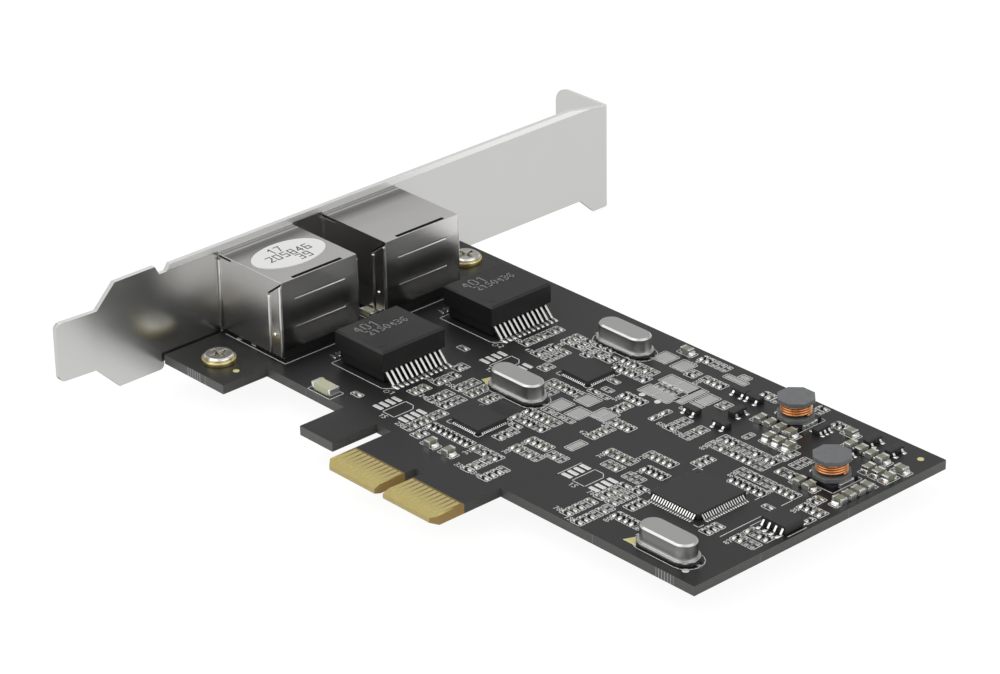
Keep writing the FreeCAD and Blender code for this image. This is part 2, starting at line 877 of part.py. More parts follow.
# Screws and their lands
def make_screws():
    """Two screws with a cross recess, each on a thick gold-coloured ring."""
    master = new_body("screw_master")
    profile = sketch_on(master, "XZ_Plane", "screw_profile")
    shank = size.screw_shank / 2
    head = size.screw_head / 2
    under = size.land_thick
    top = under + size.screw_head_tall
    tip = -(size.board_thick + size.steel_thick + size.screw_past_tab)
    outline(profile, [
        (0, tip),
        (shank, tip),
        (shank, under),
        (head, under),
        (head, under + size.screw_head_rim),
        (size.screw_head_top / 2, top),
        (0, top),
    ])
    turned = master.newObject("PartDesign::Revolution", "screw_turned")
    turned.Profile = profile
    turned.ReferenceAxis = (profile, ["V_Axis"])
    turned.Angle = 360
    master.Tip = turned
    cross = sketch_on(master, "XY_Plane", "screw_cross", top)
    arm = size.cross_wide / 2
    reach = size.cross_long / 2
    outline(cross, [
        (-reach, -arm), (-arm, -arm), (-arm, -reach), (arm, -reach), (arm, -arm), (reach, -arm),
        (reach, arm), (arm, arm), (arm, reach), (-arm, reach), (-arm, arm), (-reach, arm),
    ])
    cut(master, cross, "screw_cross_cut", depth=size.cross_deep)
    ring = new_body("land_master")
    face = sketch_on(ring, "XY_Plane", "land_ring")
    circle(face, 0, 0, size.land_wide)
    circle(face, 0, 0, size.screw_hole)
    pad(ring, face, size.land_thick, "land_pad")
    places = [(size.screw_in - size.bracket_reach, y, 0) for y in screw_heights()]
    group_copies("bracket_screws", master, places)
    group_copies("screw_lands", ring, places)


# Jacks
def port_outline(sketch, margin):
    """Plug opening with the latch channel and keyway below it, widened by margin."""
    top = size.port_low + size.port_tall + margin
    wide = size.port_wide / 2 + margin
    latch = size.latch_wide / 2 + margin
    key = size.keyway_wide / 2 + margin
    low = size.port_low - margin
    latch_low = low - size.latch_deep
    key_low = latch_low - size.keyway_deep
    outline(sketch, [
        (-wide, low), (-latch, low), (-latch, latch_low), (-key, latch_low), (-key, key_low),
        (key, key_low), (key, latch_low), (latch, latch_low), (latch, low), (wide, low),
        (wide, top), (-wide, top),
    ])


def beside_wall(gap, wide):
    """Distance from a jack's middle to the middle of a piece that stands by its side wall."""
    return size.jack_wide / 2 - size.shell_thick - gap - wide / 2


def light_windows(sketch):
    """The two light openings at the top corners of a jack's front."""
    middle = size.jack_tall - size.shell_thick - size.light_drop
    spread = beside_wall(size.light_wall_gap, size.light_wide)
    for side in (-1, 1):
        centre = spread * side
        rectangle(sketch, centre - size.light_wide / 2, centre + size.light_wide / 2,
                  middle - size.light_tall / 2, middle + size.light_tall / 2)


def jack_front():
    """Plane of a jack's front, in front of the bracket's outer face."""
    return -(size.steel_thick + size.jack_proud)


def make_jack_shell(label, y):
    """Folded metal shell: roof, walls, front frame, rear flaps, slots and legs."""
    body = new_body(label)
    wall = size.shell_thick
    half = size.jack_wide / 2
    front = jack_front()
    skirt = size.shell_skirt
    roof = size.jack_tall - wall
    block = sketch_on(body, "XY_Plane", label + "_block", skirt)
    rectangle(block, front, size.jack_deep, -half, half)
    pad(body, block, size.jack_tall - skirt, label + "_sheet")
    inside = sketch_on(body, "XY_Plane", label + "_inside", skirt)
    rectangle(inside, front + wall, size.jack_deep - wall, wall - half, half - wall)
    cut(body, inside, label + "_hollow", depth=roof - skirt, back=True)
    rear = sketch_on(body, "YZ_Plane", label + "_rear_skirt", size.jack_deep)
    rectangle(rear, wall - half, half - wall, skirt, size.shell_rear_skirt)
    cut(body, rear, label + "_rear_cut", depth=wall)
    face = sketch_on(body, "YZ_Plane", label + "_face", front + wall)
    port_outline(face, wall / 2)
    cut(body, face, label + "_face_cut", depth=wall)
    light = sketch_on(body, "YZ_Plane", label + "_light", front + wall)
    light_windows(light)
    cut(body, light, label + "_light_cut", depth=wall)
    fold = sketch_on(body, "XY_Plane", label + "_fold_slot", size.jack_tall)
    slot_far = size.jack_deep - wall
    rectangle(fold, slot_far - size.slot_wide, slot_far, -size.slot_half, size.slot_half)
    cut(body, fold, label + "_fold_cut", depth=wall)
    crease = sketch_on(body, "YZ_Plane", label + "_crease", size.jack_deep)
    for height in (size.crease_upper, size.crease_lower):
        rectangle(crease, -size.crease_half, size.crease_half,
                  height - size.crease_high / 2, height + size.crease_high / 2)
    cut(body, crease, label + "_crease_cut", depth=size.crease_deep)
    relief = sketch_on(body, "XZ_Plane", label + "_relief")
    rectangle(relief, size.relief_start, size.relief_long, roof - size.relief_high, roof)
    cut(body, relief, label + "_relief_cut")
    flap = sketch_on(body, "XZ_Plane", label + "_flap", -half)
    start = size.jack_deep - size.flap_long
    outline(flap, [
        (start, size.shell_rear_skirt),
        (size.jack_deep, size.shell_rear_skirt),
        (size.jack_deep, size.jack_tall - wall / 2),
        (start, size.flap_low_side),
    ])
    pad(body, flap, wall, label + "_flap_pad")
    flap_other = sketch_on(body, "XZ_Plane", label + "_flap_other", half)
    outline(flap_other, [
        (start, size.shell_rear_skirt),
        (size.jack_deep, size.shell_rear_skirt),
        (size.jack_deep, size.jack_tall - wall / 2),
        (start, size.flap_low_side),
    ])
    pad(body, flap_other, wall, label + "_flap_other_pad", back=True)
    legs = sketch_on(body, "XY_Plane", label + "_legs", skirt)
    for side in (-1, 1):
        edges = sorted(((half - wall) * side, half * side), key=float)
        rectangle(legs, size.leg_in - size.leg_wide / 2, size.leg_in + size.leg_wide / 2, *edges)
    pad(body, legs, skirt + size.board_thick + size.tail_past_board, label + "_leg_pad", back=True)
    place(body, -size.bracket_reach, y)


def make_jack_housing(label, y):
    """Moulded block that fills the shell, with the port, wire channel and two pegs."""
    body = new_body(label)
    wall = size.shell_thick
    half = size.jack_wide / 2 - wall
    front = jack_front() + wall
    rear = size.jack_deep - wall
    top = size.jack_tall - wall
    block = sketch_on(body, "XY_Plane", label + "_block")
    rectangle(block, front, rear, -half, half)
    pad(body, block, top, label + "_moulding")
    port = sketch_on(body, "YZ_Plane", label + "_port", front)
    port_outline(port, as_size(0))
    cut(body, port, label + "_port_cut", depth=size.port_deep, back=True)
    light = sketch_on(body, "YZ_Plane", label + "_light", front)
    light_windows(light)
    cut(body, light, label + "_light_cut", depth=size.light_deep - wall, back=True)
    roof = size.port_low + size.port_tall
    channel = sketch_on(body, "XZ_Plane", label + "_channel", size.channel_wide / 2)
    ceiling = roof + size.wire_roof_gap
    back_wall = size.wire_row + size.wire_row_gap + size.wire_thick
    outline(channel, [
        (size.wire_front, roof - size.wire_thick),
        (size.wire_front, ceiling),
        (back_wall, ceiling),
        (back_wall, 0),
        (size.wire_row, 0),
        (size.wire_row, roof - size.wire_thick),
    ])
    cut(body, channel, label + "_channel_cut", depth=size.channel_wide)
    pegs = sketch_on(body, "XY_Plane", label + "_pegs")
    peg_spread = beside_wall(size.peg_wall_gap, size.peg_wide)
    for side in (-1, 1):
        circle(pegs, size.peg_in, peg_spread * side, size.peg_wide)
    pad(body, pegs, size.board_thick + size.tail_past_board, label + "_peg_pad", back=True)
    place(body, -size.bracket_reach, y)


def make_jack_wires(label, y):
    """Eight bent contact wires: spring arm in the port, run in the roof, tail in the board."""
    body = new_body(label)
    thick = size.wire_thick
    ceiling = size.port_low + size.port_tall + size.wire_roof_gap
    tip_high = size.port_low + size.port_tall - size.wire_tip_drop
    tail = -(size.board_thick + size.tail_past_board)
    for number in range(WIRE_COUNT):
        middle = wire_side(number)
        name = f"{label}_{number + 1}"
        profile = sketch_on(body, "XZ_Plane", name, -(middle + size.wire_wide / 2))
        x = wire_row_x(number)
        outline(profile, [
            (x, tail),
            (x + thick, tail),
            (x + thick, ceiling),
            (size.wire_front, ceiling),
            (size.wire_front, ceiling - thick * 2),
            (size.wire_tip_in, tip_high),
            (size.wire_tip_in, tip_high + thick),
            (size.wire_front + thick * 2, ceiling - thick),
            (x, ceiling - thick),
        ])
        pad(body, profile, size.wire_wide, name + "_wire")
    place(body, -size.bracket_reach, y)


def make_jack_lights(label, y):
    """Two light pipes at the top corners of the port."""
    body = new_body(label)
    face = sketch_on(body, "YZ_Plane", label + "_face", jack_front())
    light_windows(face)
    pad(body, face, size.light_deep, label + "_pipes")
    place(body, -size.bracket_reach, y)


def make_jacks():
    for number, y in enumerate(jack_heights(), start=1):
        make_jack_shell(f"jack_{number}_shell", y)
        make_jack_housing(f"jack_{number}_housing", y)
        make_jack_wires(f"jack_{number}_contacts", y)
        make_jack_lights(f"jack_{number}_lights", y)


def make_sticker():
    """Oval paper sticker on the roof of the first jack."""
    body = new_body("oval_sticker")
    face = sketch_on(body, "XY_Plane", "sticker_oval")
    ellipse(face, size.sticker_long, size.sticker_wide)
    pad(body, face, size.sticker_thick, "sticker_paper")
    place(body, size.sticker_in - size.bracket_reach, size.jack_first + size.sticker_side,
          size.jack_tall)
    bind(body, "Placement.Rotation.Angle", 90)


# Leads
def bent_lead(start, high, reach, foot, thick):
    """Side view of a lead that leaves at start, this high, slopes down and ends in a foot."""
    end = start + reach
    heel = end - foot
    return [
        (start, high),
        (heel, thick),
        (end, thick),
        (end, 0),
        (heel - thick, 0),
        (start, high - thick * 2),
    ]


# Line transformers
def make_transformers():
    """Two moulded transformers with twelve leads on each long side."""
    size_x = size.transformer_deep
    size_y = size.transformer_wide
    inset = size.transformer_inset
    ledge = size.transformer_ledge
    for number in range(2):
        y = size.transformer_y + size.transformer_pitch * number
        label = f"transformer_{number + 1}"
        body = new_body(label + "_body")
        base = sketch_on(body, "XY_Plane", label + "_base", size.transformer_stand)
        centred_rectangle(base, size_x - inset * 2, size_y - inset * 2)
        pad(body, base, ledge - size.transformer_stand, label + "_base_pad")
        lid = sketch_on(body, "XY_Plane", label + "_lid", ledge)
        centred_rectangle(lid, size_x, size_y)
        pad(body, lid, size.transformer_tall - ledge, label + "_lid_pad")
        top = size.transformer_tall
        bevel_edges(body, size.transformer_edge, label + "_edges",
                    lambda a, b: near(a.z, top) and near(b.z, top))
        dimple = sketch_on(body, "XY_Plane", label + "_dimple", top)
        circle(dimple, size_x / 2 - size.transformer_dimple, size.transformer_dimple - size_y / 2,
               size.transformer_dimple)
        cut(body, dimple, label + "_dimple_cut", depth=size.chip_dimple_deep)
        place(body, size.transformer_in - size.bracket_reach, y)
        leads = new_body(label + "_leads")
        pitch = size.transformer_lead_pitch
        wide = size.transformer_lead_wide
        span = pitch * (size.transformer_lead_count - 1)
        side = sketch_on(leads, "XZ_Plane", label + "_lead", span / 2 + wide / 2)
        outline(side, bent_lead(size_x / 2 - inset, ledge, size.transformer_lead_reach + inset,
                                size.transformer_lead_foot, size.transformer_lead_thick))
        lead = pad(leads, side, wide, label + "_lead_pad", back=True)
        repeat(leads, lead, "Y_Axis", pitch, size.transformer_lead_count, label + "_lead_row")
        mirror_whole(leads, "YZ_Plane", label + "_lead_mirror")
        place(leads, size.transformer_in - size.bracket_reach, y)


# Crystals
def make_crystals():
    """Three crystals: drawn can with its flange, plastic base and two leads."""
    base_top = size.crystal_base_thick
    can = new_body("crystal_can_master")
    rim = sketch_on(can, "XY_Plane", "crystal_rim", base_top)
    flange = size.crystal_flange * 2
    stadium(rim, size.crystal_long + flange, size.crystal_wide + flange)
    pad(can, rim, size.crystal_flange_thick, "crystal_rim_pad")
    wall = sketch_on(can, "XY_Plane", "crystal_wall", base_top)
    stadium(wall, size.crystal_long, size.crystal_wide)
    top = size.crystal_tall
    pad(can, wall, top - base_top, "crystal_wall_pad")
    bevel_edges(can, size.crystal_edge, "crystal_top_edge",
                lambda a, b: near(a.z, top) and near(b.z, top))
    base = new_body("crystal_base_master")
    face = sketch_on(base, "XY_Plane", "crystal_base_face")
    centred_rectangle(face, size.crystal_base_long, size.crystal_base_wide)
    pad(base, face, base_top, "crystal_base_pad")
    bevel_edges(base, size.crystal_base_corner, "crystal_base_corners",
                lambda a, b: not near(a.z, b.z))
    leads = new_body("crystal_lead_master")
    strip = sketch_on(leads, "XY_Plane", "crystal_lead_face")
    half = size.crystal_base_long / 2
    wide = size.crystal_lead_wide / 2
    rectangle(strip, half, half + size.crystal_lead_long, -wide, wide)
    pad(leads, strip, size.crystal_lead_thick, "crystal_lead_pad")
    mirror_whole(leads, "YZ_Plane", "crystal_lead_mirror")
    places = named_places(CRYSTALS)
    group_copies("crystal_cans", can, places)
    group_copies("crystal_bases", base, places)
    group_copies("crystal_leads", leads, places)


# Chips
def make_chip_body(label, size_x, size_y, stand, tall):
    """Moulded chip body with bevelled top edges."""
    body = new_body(label)
    face = sketch_on(body, "XY_Plane", label + "_face", stand)
    centred_rectangle(face, size_x, size_y)
    pad(body, face, tall - stand, label + "_block")
    bevel_edges(body, size.chip_edge, label + "_edges",
                lambda a, b: near(a.z, tall) and near(b.z, tall))
    return body


def make_chip_leads(label, half, kind):
    """One row of a chip's leads on its +X side, ready to be mirrored or turned."""
    body = new_body(label)
    pitch, copies, wide, thick, reach, foot, stand, tall = (
        getattr(size, f"{kind}_{part}") for part in (
            "lead_pitch", "lead_count", "lead_wide", "lead_thick", "lead_reach", "lead_foot",
            "stand", "tall"))
    span = pitch * (copies - 1)
    side = sketch_on(body, "XZ_Plane", label + "_side", span / 2 + wide / 2)
    outline(side, bent_lead(half, (tall + stand) / 2 + thick, reach, foot, thick))
    lead = pad(body, side, wide, label + "_pad", back=True)
    repeat(body, lead, "Y_Axis", pitch, copies, label + "_row")
    return body


def make_chips():
    """Bridge chip, memory chip and the two leadless controller chips."""
    bridge = make_chip_body("bridge_chip_body", size.bridge_wide, size.bridge_wide,
                            size.bridge_stand, size.bridge_tall)
    mark = sketch_on(bridge, "XY_Plane", "bridge_chip_mark", size.bridge_tall)
    corner = size.bridge_wide / 2 - size.chip_dimple_in
    circle(mark, -corner, corner, size.chip_dimple)
    cut(bridge, mark, "bridge_chip_mark_cut", depth=size.chip_dimple_deep)
    leads = make_chip_leads("bridge_chip_leads", size.bridge_wide / 2, "bridge")
    turn_whole(leads, 4, "bridge_lead_sides")
    for piece in (bridge, leads):
        place(piece, size.bridge_x, size.bridge_y)
    memory = make_chip_body("memory_chip_body", size.memory_wide, size.memory_long,
                            size.memory_stand, size.memory_tall)
    leads = make_chip_leads("memory_chip_leads", size.memory_wide / 2, "memory")
    mirror_whole(leads, "YZ_Plane", "memory_lead_mirror")
    for piece in (memory, leads):
        place(piece, size.memory_x, size.memory_y)
        bind(piece, "Placement.Rotation.Angle", 90)
    for number in range(2):
        chip = make_chip_body(f"controller_chip_{number + 1}", size.controller_wide,
                              size.controller_wide, as_size(0), size.controller_tall)
        place(chip, -size.controller_x, size.controller_y + size.controller_pitch * number)


# Small transistors and regulators
def make_small_body(label):
    """Body of a small transistor or regulator, with bevelled top edges."""
    body = new_body(label)
    face = sketch_on(body, "XY_Plane", label + "_face", size.transistor_stand)
    centred_rectangle(face, size.transistor_wide, size.transistor_long)
    top = size.transistor_tall
    pad(body, face, top - size.transistor_stand, label + "_block")
    bevel_edges(body, size.transistor_edge, label + "_edges",
                lambda a, b: near(a.z, top) and near(b.z, top))
    return body


def add_small_lead(body, side_y, flip, name):
    """One lead of a small body, at side_y, on the +X side or flipped to the -X side."""
    wide = size.transistor_lead_wide
    profile = sketch_on(body, "XZ_Plane", name, -(side_y + wide / 2))
    high = (size.transistor_tall + size.transistor_stand) / 2
    corners = bent_lead(size.transistor_wide / 2, high, size.transistor_lead_reach,
                        size.transistor_lead_foot, size.transistor_lead_thick)
    if flip:
        corners = [(-u, v) for u, v in corners]
    outline(profile, corners)
    pad(body, profile, wide, name + "_pad")


def make_transistors():
    """Three-lead transistors and the six-lead regulators of the supply corner."""
    body = make_small_body("transistor_body_master")
    leads = new_body("transistor_lead_master")
    half_pitch = size.transistor_lead_pitch / 2
    add_small_lead(leads, half_pitch, False, "transistor_lead_one")
    add_small_lead(leads, -half_pitch, False, "transistor_lead_two")
    add_small_lead(leads, as_size(0), True, "transistor_lead_three")
    places = named_places(TRANSISTORS)
    group_copies("transistor_bodies", body, places)
    group_copies("transistor_leads", leads, places)
    chip = make_small_body("regulator_body_master")
    pins = new_body("regulator_lead_master")
    for step in (-1, 0, 1):
        height = size.regulator_lead_pitch * step
        add_small_lead(pins, height, False, f"regulator_lead_near_{step + 1}")
        add_small_lead(pins, height, True, f"regulator_lead_far_{step + 1}")
    places = named_places(REGULATORS)
    group_copies("regulator_bodies", chip, places)
    group_copies("regulator_leads", pins, places)


# Drum inductors
def make_inductors():
    """Ferrite drum with a copper winding, on a square base with two terminals."""
    floor = size.inductor_base_thick
    top = size.inductor_tall
    rim = size.inductor_rim
    drum = new_body("inductor_core_master")
    layers = (
        ("drum_foot", floor, size.inductor_drum, rim),
        ("drum_core", floor + rim, size.inductor_core, top - floor - rim * 2),
        ("drum_head", top - rim, size.inductor_drum, rim),
    )
    for name, low, across, thick in layers:
        ring = sketch_on(drum, "XY_Plane", name, low)
        octagon(ring, across)
        pad(drum, ring, thick, name + "_pad")
    coil = new_body("inductor_winding_master")
    ring = sketch_on(coil, "XY_Plane", "winding_ring", floor + rim)
    circle(ring, 0, 0, size.inductor_winding)
    octagon(ring, size.inductor_core)
    pad(coil, ring, top - floor - rim * 2, "winding_pad")
    base = new_body("inductor_base_master")
    face = sketch_on(base, "XY_Plane", "inductor_base_face")
    centred_rectangle(face, size.inductor_base, size.inductor_base)
    pad(base, face, floor, "inductor_base_pad")
    ends = new_body("inductor_terminal_master")
    wide = size.inductor_terminal_wide / 2
    half = size.inductor_base / 2
    strip = sketch_on(ends, "YZ_Plane", "terminal_face", half)
    rectangle(strip, -wide, wide, 0, floor)
    pad(ends, strip, size.inductor_terminal_thick, "terminal_pad")
    mirror_whole(ends, "YZ_Plane", "terminal_mirror")
    places = named_places(INDUCTORS)
    group_copies("inductor_cores", drum, places)
    group_copies("inductor_windings", coil, places)
    group_copies("inductor_bases", base, places)
    group_copies("inductor_terminals", ends, places)


# Capacitors and resistors: a block between two plated ends
def make_chip_block(kind):
    """Masters of a chip part's block and of its pair of plated ends."""
    long, wide, tall, end = (
        getattr(size, f"{kind}_{part}") for part in ("long", "wide", "tall", "end"))
    block = new_body(f"{kind}_block_master")
    face = sketch_on(block, "XY_Plane", f"{kind}_block_face")
    centred_rectangle(face, long - end * 2, wide)
    pad(block, face, tall, f"{kind}_block_pad")
    ends = new_body(f"{kind}_end_master")
    cap = sketch_on(ends, "XY_Plane", f"{kind}_end_face")
    rectangle(cap, long / 2 - end, long / 2, -wide / 2, wide / 2)
    pad(ends, cap, tall, f"{kind}_end_pad")
    mirror_whole(ends, "YZ_Plane", f"{kind}_end_mirror")
    return block, ends


def make_small_chips():
    """Ceramic capacitors, chip resistors, the pale capacitor and the one by the jacks."""
    second_jack_side = size.jack_first + size.jack_pitch - size.jack_wide / 2
    spark_y = second_jack_side - size.spark_gap - size.spark_wide / 2
    groups = (
        ("ceramic", "ceramic_capacitor_blocks", "ceramic_capacitor_ends",
         row_places(CERAMIC_ROWS)),
        ("resistor", "chip_resistor_blocks", "chip_resistor_ends", row_places(RESISTOR_ROWS)),
        ("filter", "pale_capacitor_block", "pale_capacitor_ends",
         [(size.filter_in - size.bracket_reach, size.filter_y, 0)]),
        ("spark", "jack_capacitor_block", "jack_capacitor_ends",
         [(size.spark_in - size.bracket_reach, spark_y, 0)]),
    )
    for kind, block_label, end_label, places in groups:
        block, ends = make_chip_block(kind)
        group_copies(block_label, block, places)
        group_copies(end_label, ends, places)


def check_and_export():
    """Stops on any failed object, then writes each sub-part to its own STEP file."""
    doc.recompute()
    for thing in doc.Objects:
        if {"Invalid", "Error"} & set(thing.State):
            raise RuntimeError(f"{thing.Label} failed: {thing.State}")
    pieces = [
        thing for thing in doc.Objects
        if thing.TypeId in ("PartDesign::Body", "Part::Compound")
        and not thing.Label.endswith("_master")
    ]
    os.makedirs("parts", exist_ok=True)
    for piece in pieces:
        shape = piece.Shape
        if shape.isNull() or not shape.isValid() or not shape.Solids:
            raise RuntimeError(f"{piece.Label} has no sound shape")
    for piece in pieces:
        piece.Shape.exportStep(f"parts/{piece.Label}.step")
        print(piece.Label, len(piece.Shape.Solids), "solids", round(piece.Shape.Volume, 2), "mm3")
    print(len(pieces), "nodes")


make_board()
make_contacts()
make_bracket()
make_screws()
make_jacks()
make_sticker()
make_transformers()
make_crystals()
make_chips()
make_transistors()
make_inductors()
make_small_chips()
check_and_export()
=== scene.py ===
# %% [markdown]
# # A dual-port network card, dressed for its portrait
# The card's solids come ready made, at their true size. This script gives them
# their looks: metal, moulding, solder mask, print and solder. The first step
# loads the solids and notes the box they fill, so nothing added later can leave it.

# %% Load the solids
import json
import math

import bmesh
import bpy
import numpy as np
from mathutils import Matrix, Vector


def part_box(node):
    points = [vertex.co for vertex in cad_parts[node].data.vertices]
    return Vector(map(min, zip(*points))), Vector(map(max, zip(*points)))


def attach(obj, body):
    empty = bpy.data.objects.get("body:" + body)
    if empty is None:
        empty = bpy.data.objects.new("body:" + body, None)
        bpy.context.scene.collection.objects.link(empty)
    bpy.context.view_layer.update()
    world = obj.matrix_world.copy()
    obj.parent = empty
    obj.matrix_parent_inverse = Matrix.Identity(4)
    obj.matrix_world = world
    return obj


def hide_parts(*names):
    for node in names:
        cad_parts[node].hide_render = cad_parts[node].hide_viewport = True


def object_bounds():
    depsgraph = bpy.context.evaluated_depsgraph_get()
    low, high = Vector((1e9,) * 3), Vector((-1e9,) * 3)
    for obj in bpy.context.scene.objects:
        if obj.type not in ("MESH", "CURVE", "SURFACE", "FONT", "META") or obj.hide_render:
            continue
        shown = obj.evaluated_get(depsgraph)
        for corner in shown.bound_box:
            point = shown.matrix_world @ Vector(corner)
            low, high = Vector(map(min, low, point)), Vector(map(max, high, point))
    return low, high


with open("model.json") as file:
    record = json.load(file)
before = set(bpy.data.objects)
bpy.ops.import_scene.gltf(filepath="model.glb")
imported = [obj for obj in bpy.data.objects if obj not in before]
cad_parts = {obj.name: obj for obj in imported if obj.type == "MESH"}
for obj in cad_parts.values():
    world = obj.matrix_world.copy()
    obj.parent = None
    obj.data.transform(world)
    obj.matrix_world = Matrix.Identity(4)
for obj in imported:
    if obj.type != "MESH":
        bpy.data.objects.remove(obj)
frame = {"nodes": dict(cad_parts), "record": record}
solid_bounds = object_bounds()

MM = 0.001
nodes = frame["nodes"]
print(f"{len(nodes)} solids, box {[round(v, 4) for v in (*solid_bounds[0], *solid_bounds[1])]}")

# %% [markdown]
# ## Camera
# The photograph was taken with a long lens from in front of the card's far end,
# about 48 degrees round from the contact edge and 27 degrees up. A long lens keeps the
# bracket's edges nearly parallel. The camera leans by just under one degree.

# %% Camera
CAMERA_PLACE = Vector((362.03, -303.88, 260.93)) * MM
CAMERA_AIM = Vector((-24.59, 47.35, 0.0)) * MM
CAMERA_LEAN = math.radians(-0.93)
CAMERA_LENS = 130.14

camera_data = bpy.data.cameras.new("camera")
camera_data.lens = CAMERA_LENS
camera_data.sensor_width = 36.0
camera_data.clip_end = 20.0
camera = bpy.data.objects.new("camera", camera_data)
looking = (CAMERA_AIM - CAMERA_PLACE).to_track_quat("-Z", "Y").to_matrix()
camera.matrix_world = Matrix.Translation(CAMERA_PLACE) @ (
    looking @ Matrix.Rotation(CAMERA_LEAN, 3, "Z")
).to_4x4()
bpy.context.scene.collection.objects.link(camera)
bpy.context.scene.camera = camera
bpy.context.scene.view_settings.view_transform = "Standard"
print(f"camera {(CAMERA_AIM - CAMERA_PLACE).length:.3f} m away")

# %% [markdown]
# ## Meshes from arrays
# Nearly every added piece is either a loft, which is a pile of closed loops with a skin
# between them, or one small shape stamped in many places. Both are worked out
# here as whole arrays, in millimetres, and scaled to metres once at the end.


# %% Loops and lofts
def rounded_loop(long, wide, radius, steps=2):
    """A rectangle's outline with rounded corners, counter-clockwise.
    Each corner is a quarter circle about a point one radius in from both sides."""
    angles = np.linspace(0, np.pi / 2, steps + 1)
    arc = np.stack([np.cos(angles), np.sin(angles)], 1) * radius
    corners = []
    for quarter, (sign_x, sign_y) in enumerate([(1, 1), (-1, 1), (-1, -1), (1, -1)]):
        turn = quarter * np.pi / 2
        spin = np.array([[np.cos(turn), np.sin(turn)], [-np.sin(turn), np.cos(turn)]])
        middle = np.array([sign_x * (long / 2 - radius), sign_y * (wide / 2 - radius)])
        corners.append(arc @ spin + middle)
    return np.concatenate(corners)


def round_loop(radius, steps):
    """A circle of points, counter-clockwise."""
    angles = np.arange(steps) * 2 * np.pi / steps
    return np.stack([np.cos(angles), np.sin(angles)], 1) * radius


def loft(loops):
    """Skins a pile of loops, an array of (loop, point, xyz), from the bottom loop up.
    Quads join point k and k+1 of each loop to the next loop, and flat caps close both ends."""
    loops = np.asarray(loops, float)
    levels, count = loops.shape[:2]
    here = np.arange(count)
    ahead = (here + 1) % count
    start = np.arange(levels - 1)[:, None] * count
    quads = np.stack([start + here, start + ahead, start + count + ahead, start + count + here], -1)
    bottom = here[::-1][None]
    top = (levels - 1) * count + here[None]
    return loops.reshape(-1, 3), [quads.reshape(-1, 4), bottom, top]


def raised(loop, levels):
    """Lofts one flat loop through levels of (scale in x, scale in y, height)."""
    return loft([np.column_stack([loop * [sx, sy], np.full(len(loop), high)]) for sx, sy, high in levels])


def block(long, wide, low, high, edge, corner):
    """A closed block with rounded upright edges and a small chamfer round its top."""
    inset = [(1, 1, low), (1, 1, high - edge), (1 - 2 * edge / long, 1 - 2 * edge / wide, high)]
    return raised(rounded_loop(long, wide, corner, 1), inset)


# %% Copies of shapes
def moved(shape, x, y=0.0):
    """Shifts a shape along X and Y."""
    return shape[0] + [x, y, 0], shape[1]


def centred(corners, levels):
    """Raises any convex outline through levels, scaled about its own middle."""
    loop = np.array(corners, float)
    middle = loop.mean(0)
    return moved(raised(loop - middle, levels), *middle)


def joined(shapes):
    """Puts several shapes into one, by shifting each one's corner numbers past those before it."""
    starts = np.cumsum([0] + [len(points) for points, _ in shapes])
    polygons = [part + start for (_, parts), start in zip(shapes, starts) for part in parts]
    return np.concatenate([points for points, _ in shapes]), polygons


def pair(shape, out):
    """Two copies of a shape, one on each side of the middle along X."""
    return joined([moved(shape, side * out) for side in (-1, 1)])


def spun(points, places):
    """Turns flat points by each place's angle and shifts them there. Places are rows of x, y and
    turn in degrees, and the result is an array of (place, point, xy)."""
    angle = np.radians(places[:, 2])[:, None]
    x = points[:, 0] * np.cos(angle) - points[:, 1] * np.sin(angle) + places[:, :1]
    y = points[:, 0] * np.sin(angle) + points[:, 1] * np.cos(angle) + places[:, 1:2]
    return np.stack([x, y], -1)


def stamped(shape, places):
    """Copies one shape to every place at once: each copy keeps the shape's heights, and its
    corner numbers are shifted past those of the copies before it."""
    places = np.asarray(places, float).reshape(-1, 3)
    points, parts = shape
    flat = spun(points, places)
    high = np.broadcast_to(points[:, 2:], (*flat.shape[:2], 1))
    shift = np.arange(len(places))[:, None, None] * len(points)
    polygons = [(part + shift).reshape(-1, part.shape[1]) for part in parts]
    return np.concatenate([flat, high], -1).reshape(-1, 3), polygons


def unturned(points):
    """Points as places without a turn."""
    return np.column_stack([points, np.zeros(len(points))])


# %% Pieces from shapes
def mesh_of(name, shape):
    """Fills a mesh from a shape's points and its polygons, one array per number of corners."""
    points, parts = shape
    mesh = bpy.data.meshes.new(name)
    mesh.vertices.add(len(points))
    mesh.vertices.foreach_set("co", (points * MM).ravel().astype(np.float32))
    corners = np.concatenate([part.ravel() for part in parts])
    sizes = np.concatenate([np.full(len(part), part.shape[1]) for part in parts])
    mesh.loops.add(len(corners))
    mesh.loops.foreach_set("vertex_index", corners.astype(np.int32))
    mesh.polygons.add(len(sizes))
    mesh.polygons.foreach_set("loop_start", (np.cumsum(sizes) - sizes).astype(np.int32))
    mesh.update(calc_edges=True)
    mesh.validate()
    return mesh


def piece(name, shape, material, smooth=False, replaces=()):
    """Makes a visible piece from a shape and lets it ride on the card."""
    mesh = mesh_of(name, shape)
    mesh.materials.append(material)
    mesh.polygons.foreach_set("use_smooth", np.full(len(mesh.polygons), smooth))
    made = bpy.data.objects.new(name, mesh)
    bpy.context.scene.collection.objects.link(made)
    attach(made, "root")
    if replaces:
        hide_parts(*replaces)
    print(f"{name}: {len(mesh.polygons)} faces")


# %% [markdown]
# ## Finishes
# Real surfaces are never one even colour. One node group, used by every finish, takes a
# colour and a roughness and returns both with slow clouds and fine grain mixed in, with
# a normal that carries the grain as relief. A stretch turns the grain into brush lines.


# %% Node helpers
def feed(tree, socket, value):
    """Gives an input socket a plain value, or a link from another socket."""
    if isinstance(value, bpy.types.NodeSocket):
        tree.links.new(value, socket)
    elif value is not None:
        socket.default_value = value


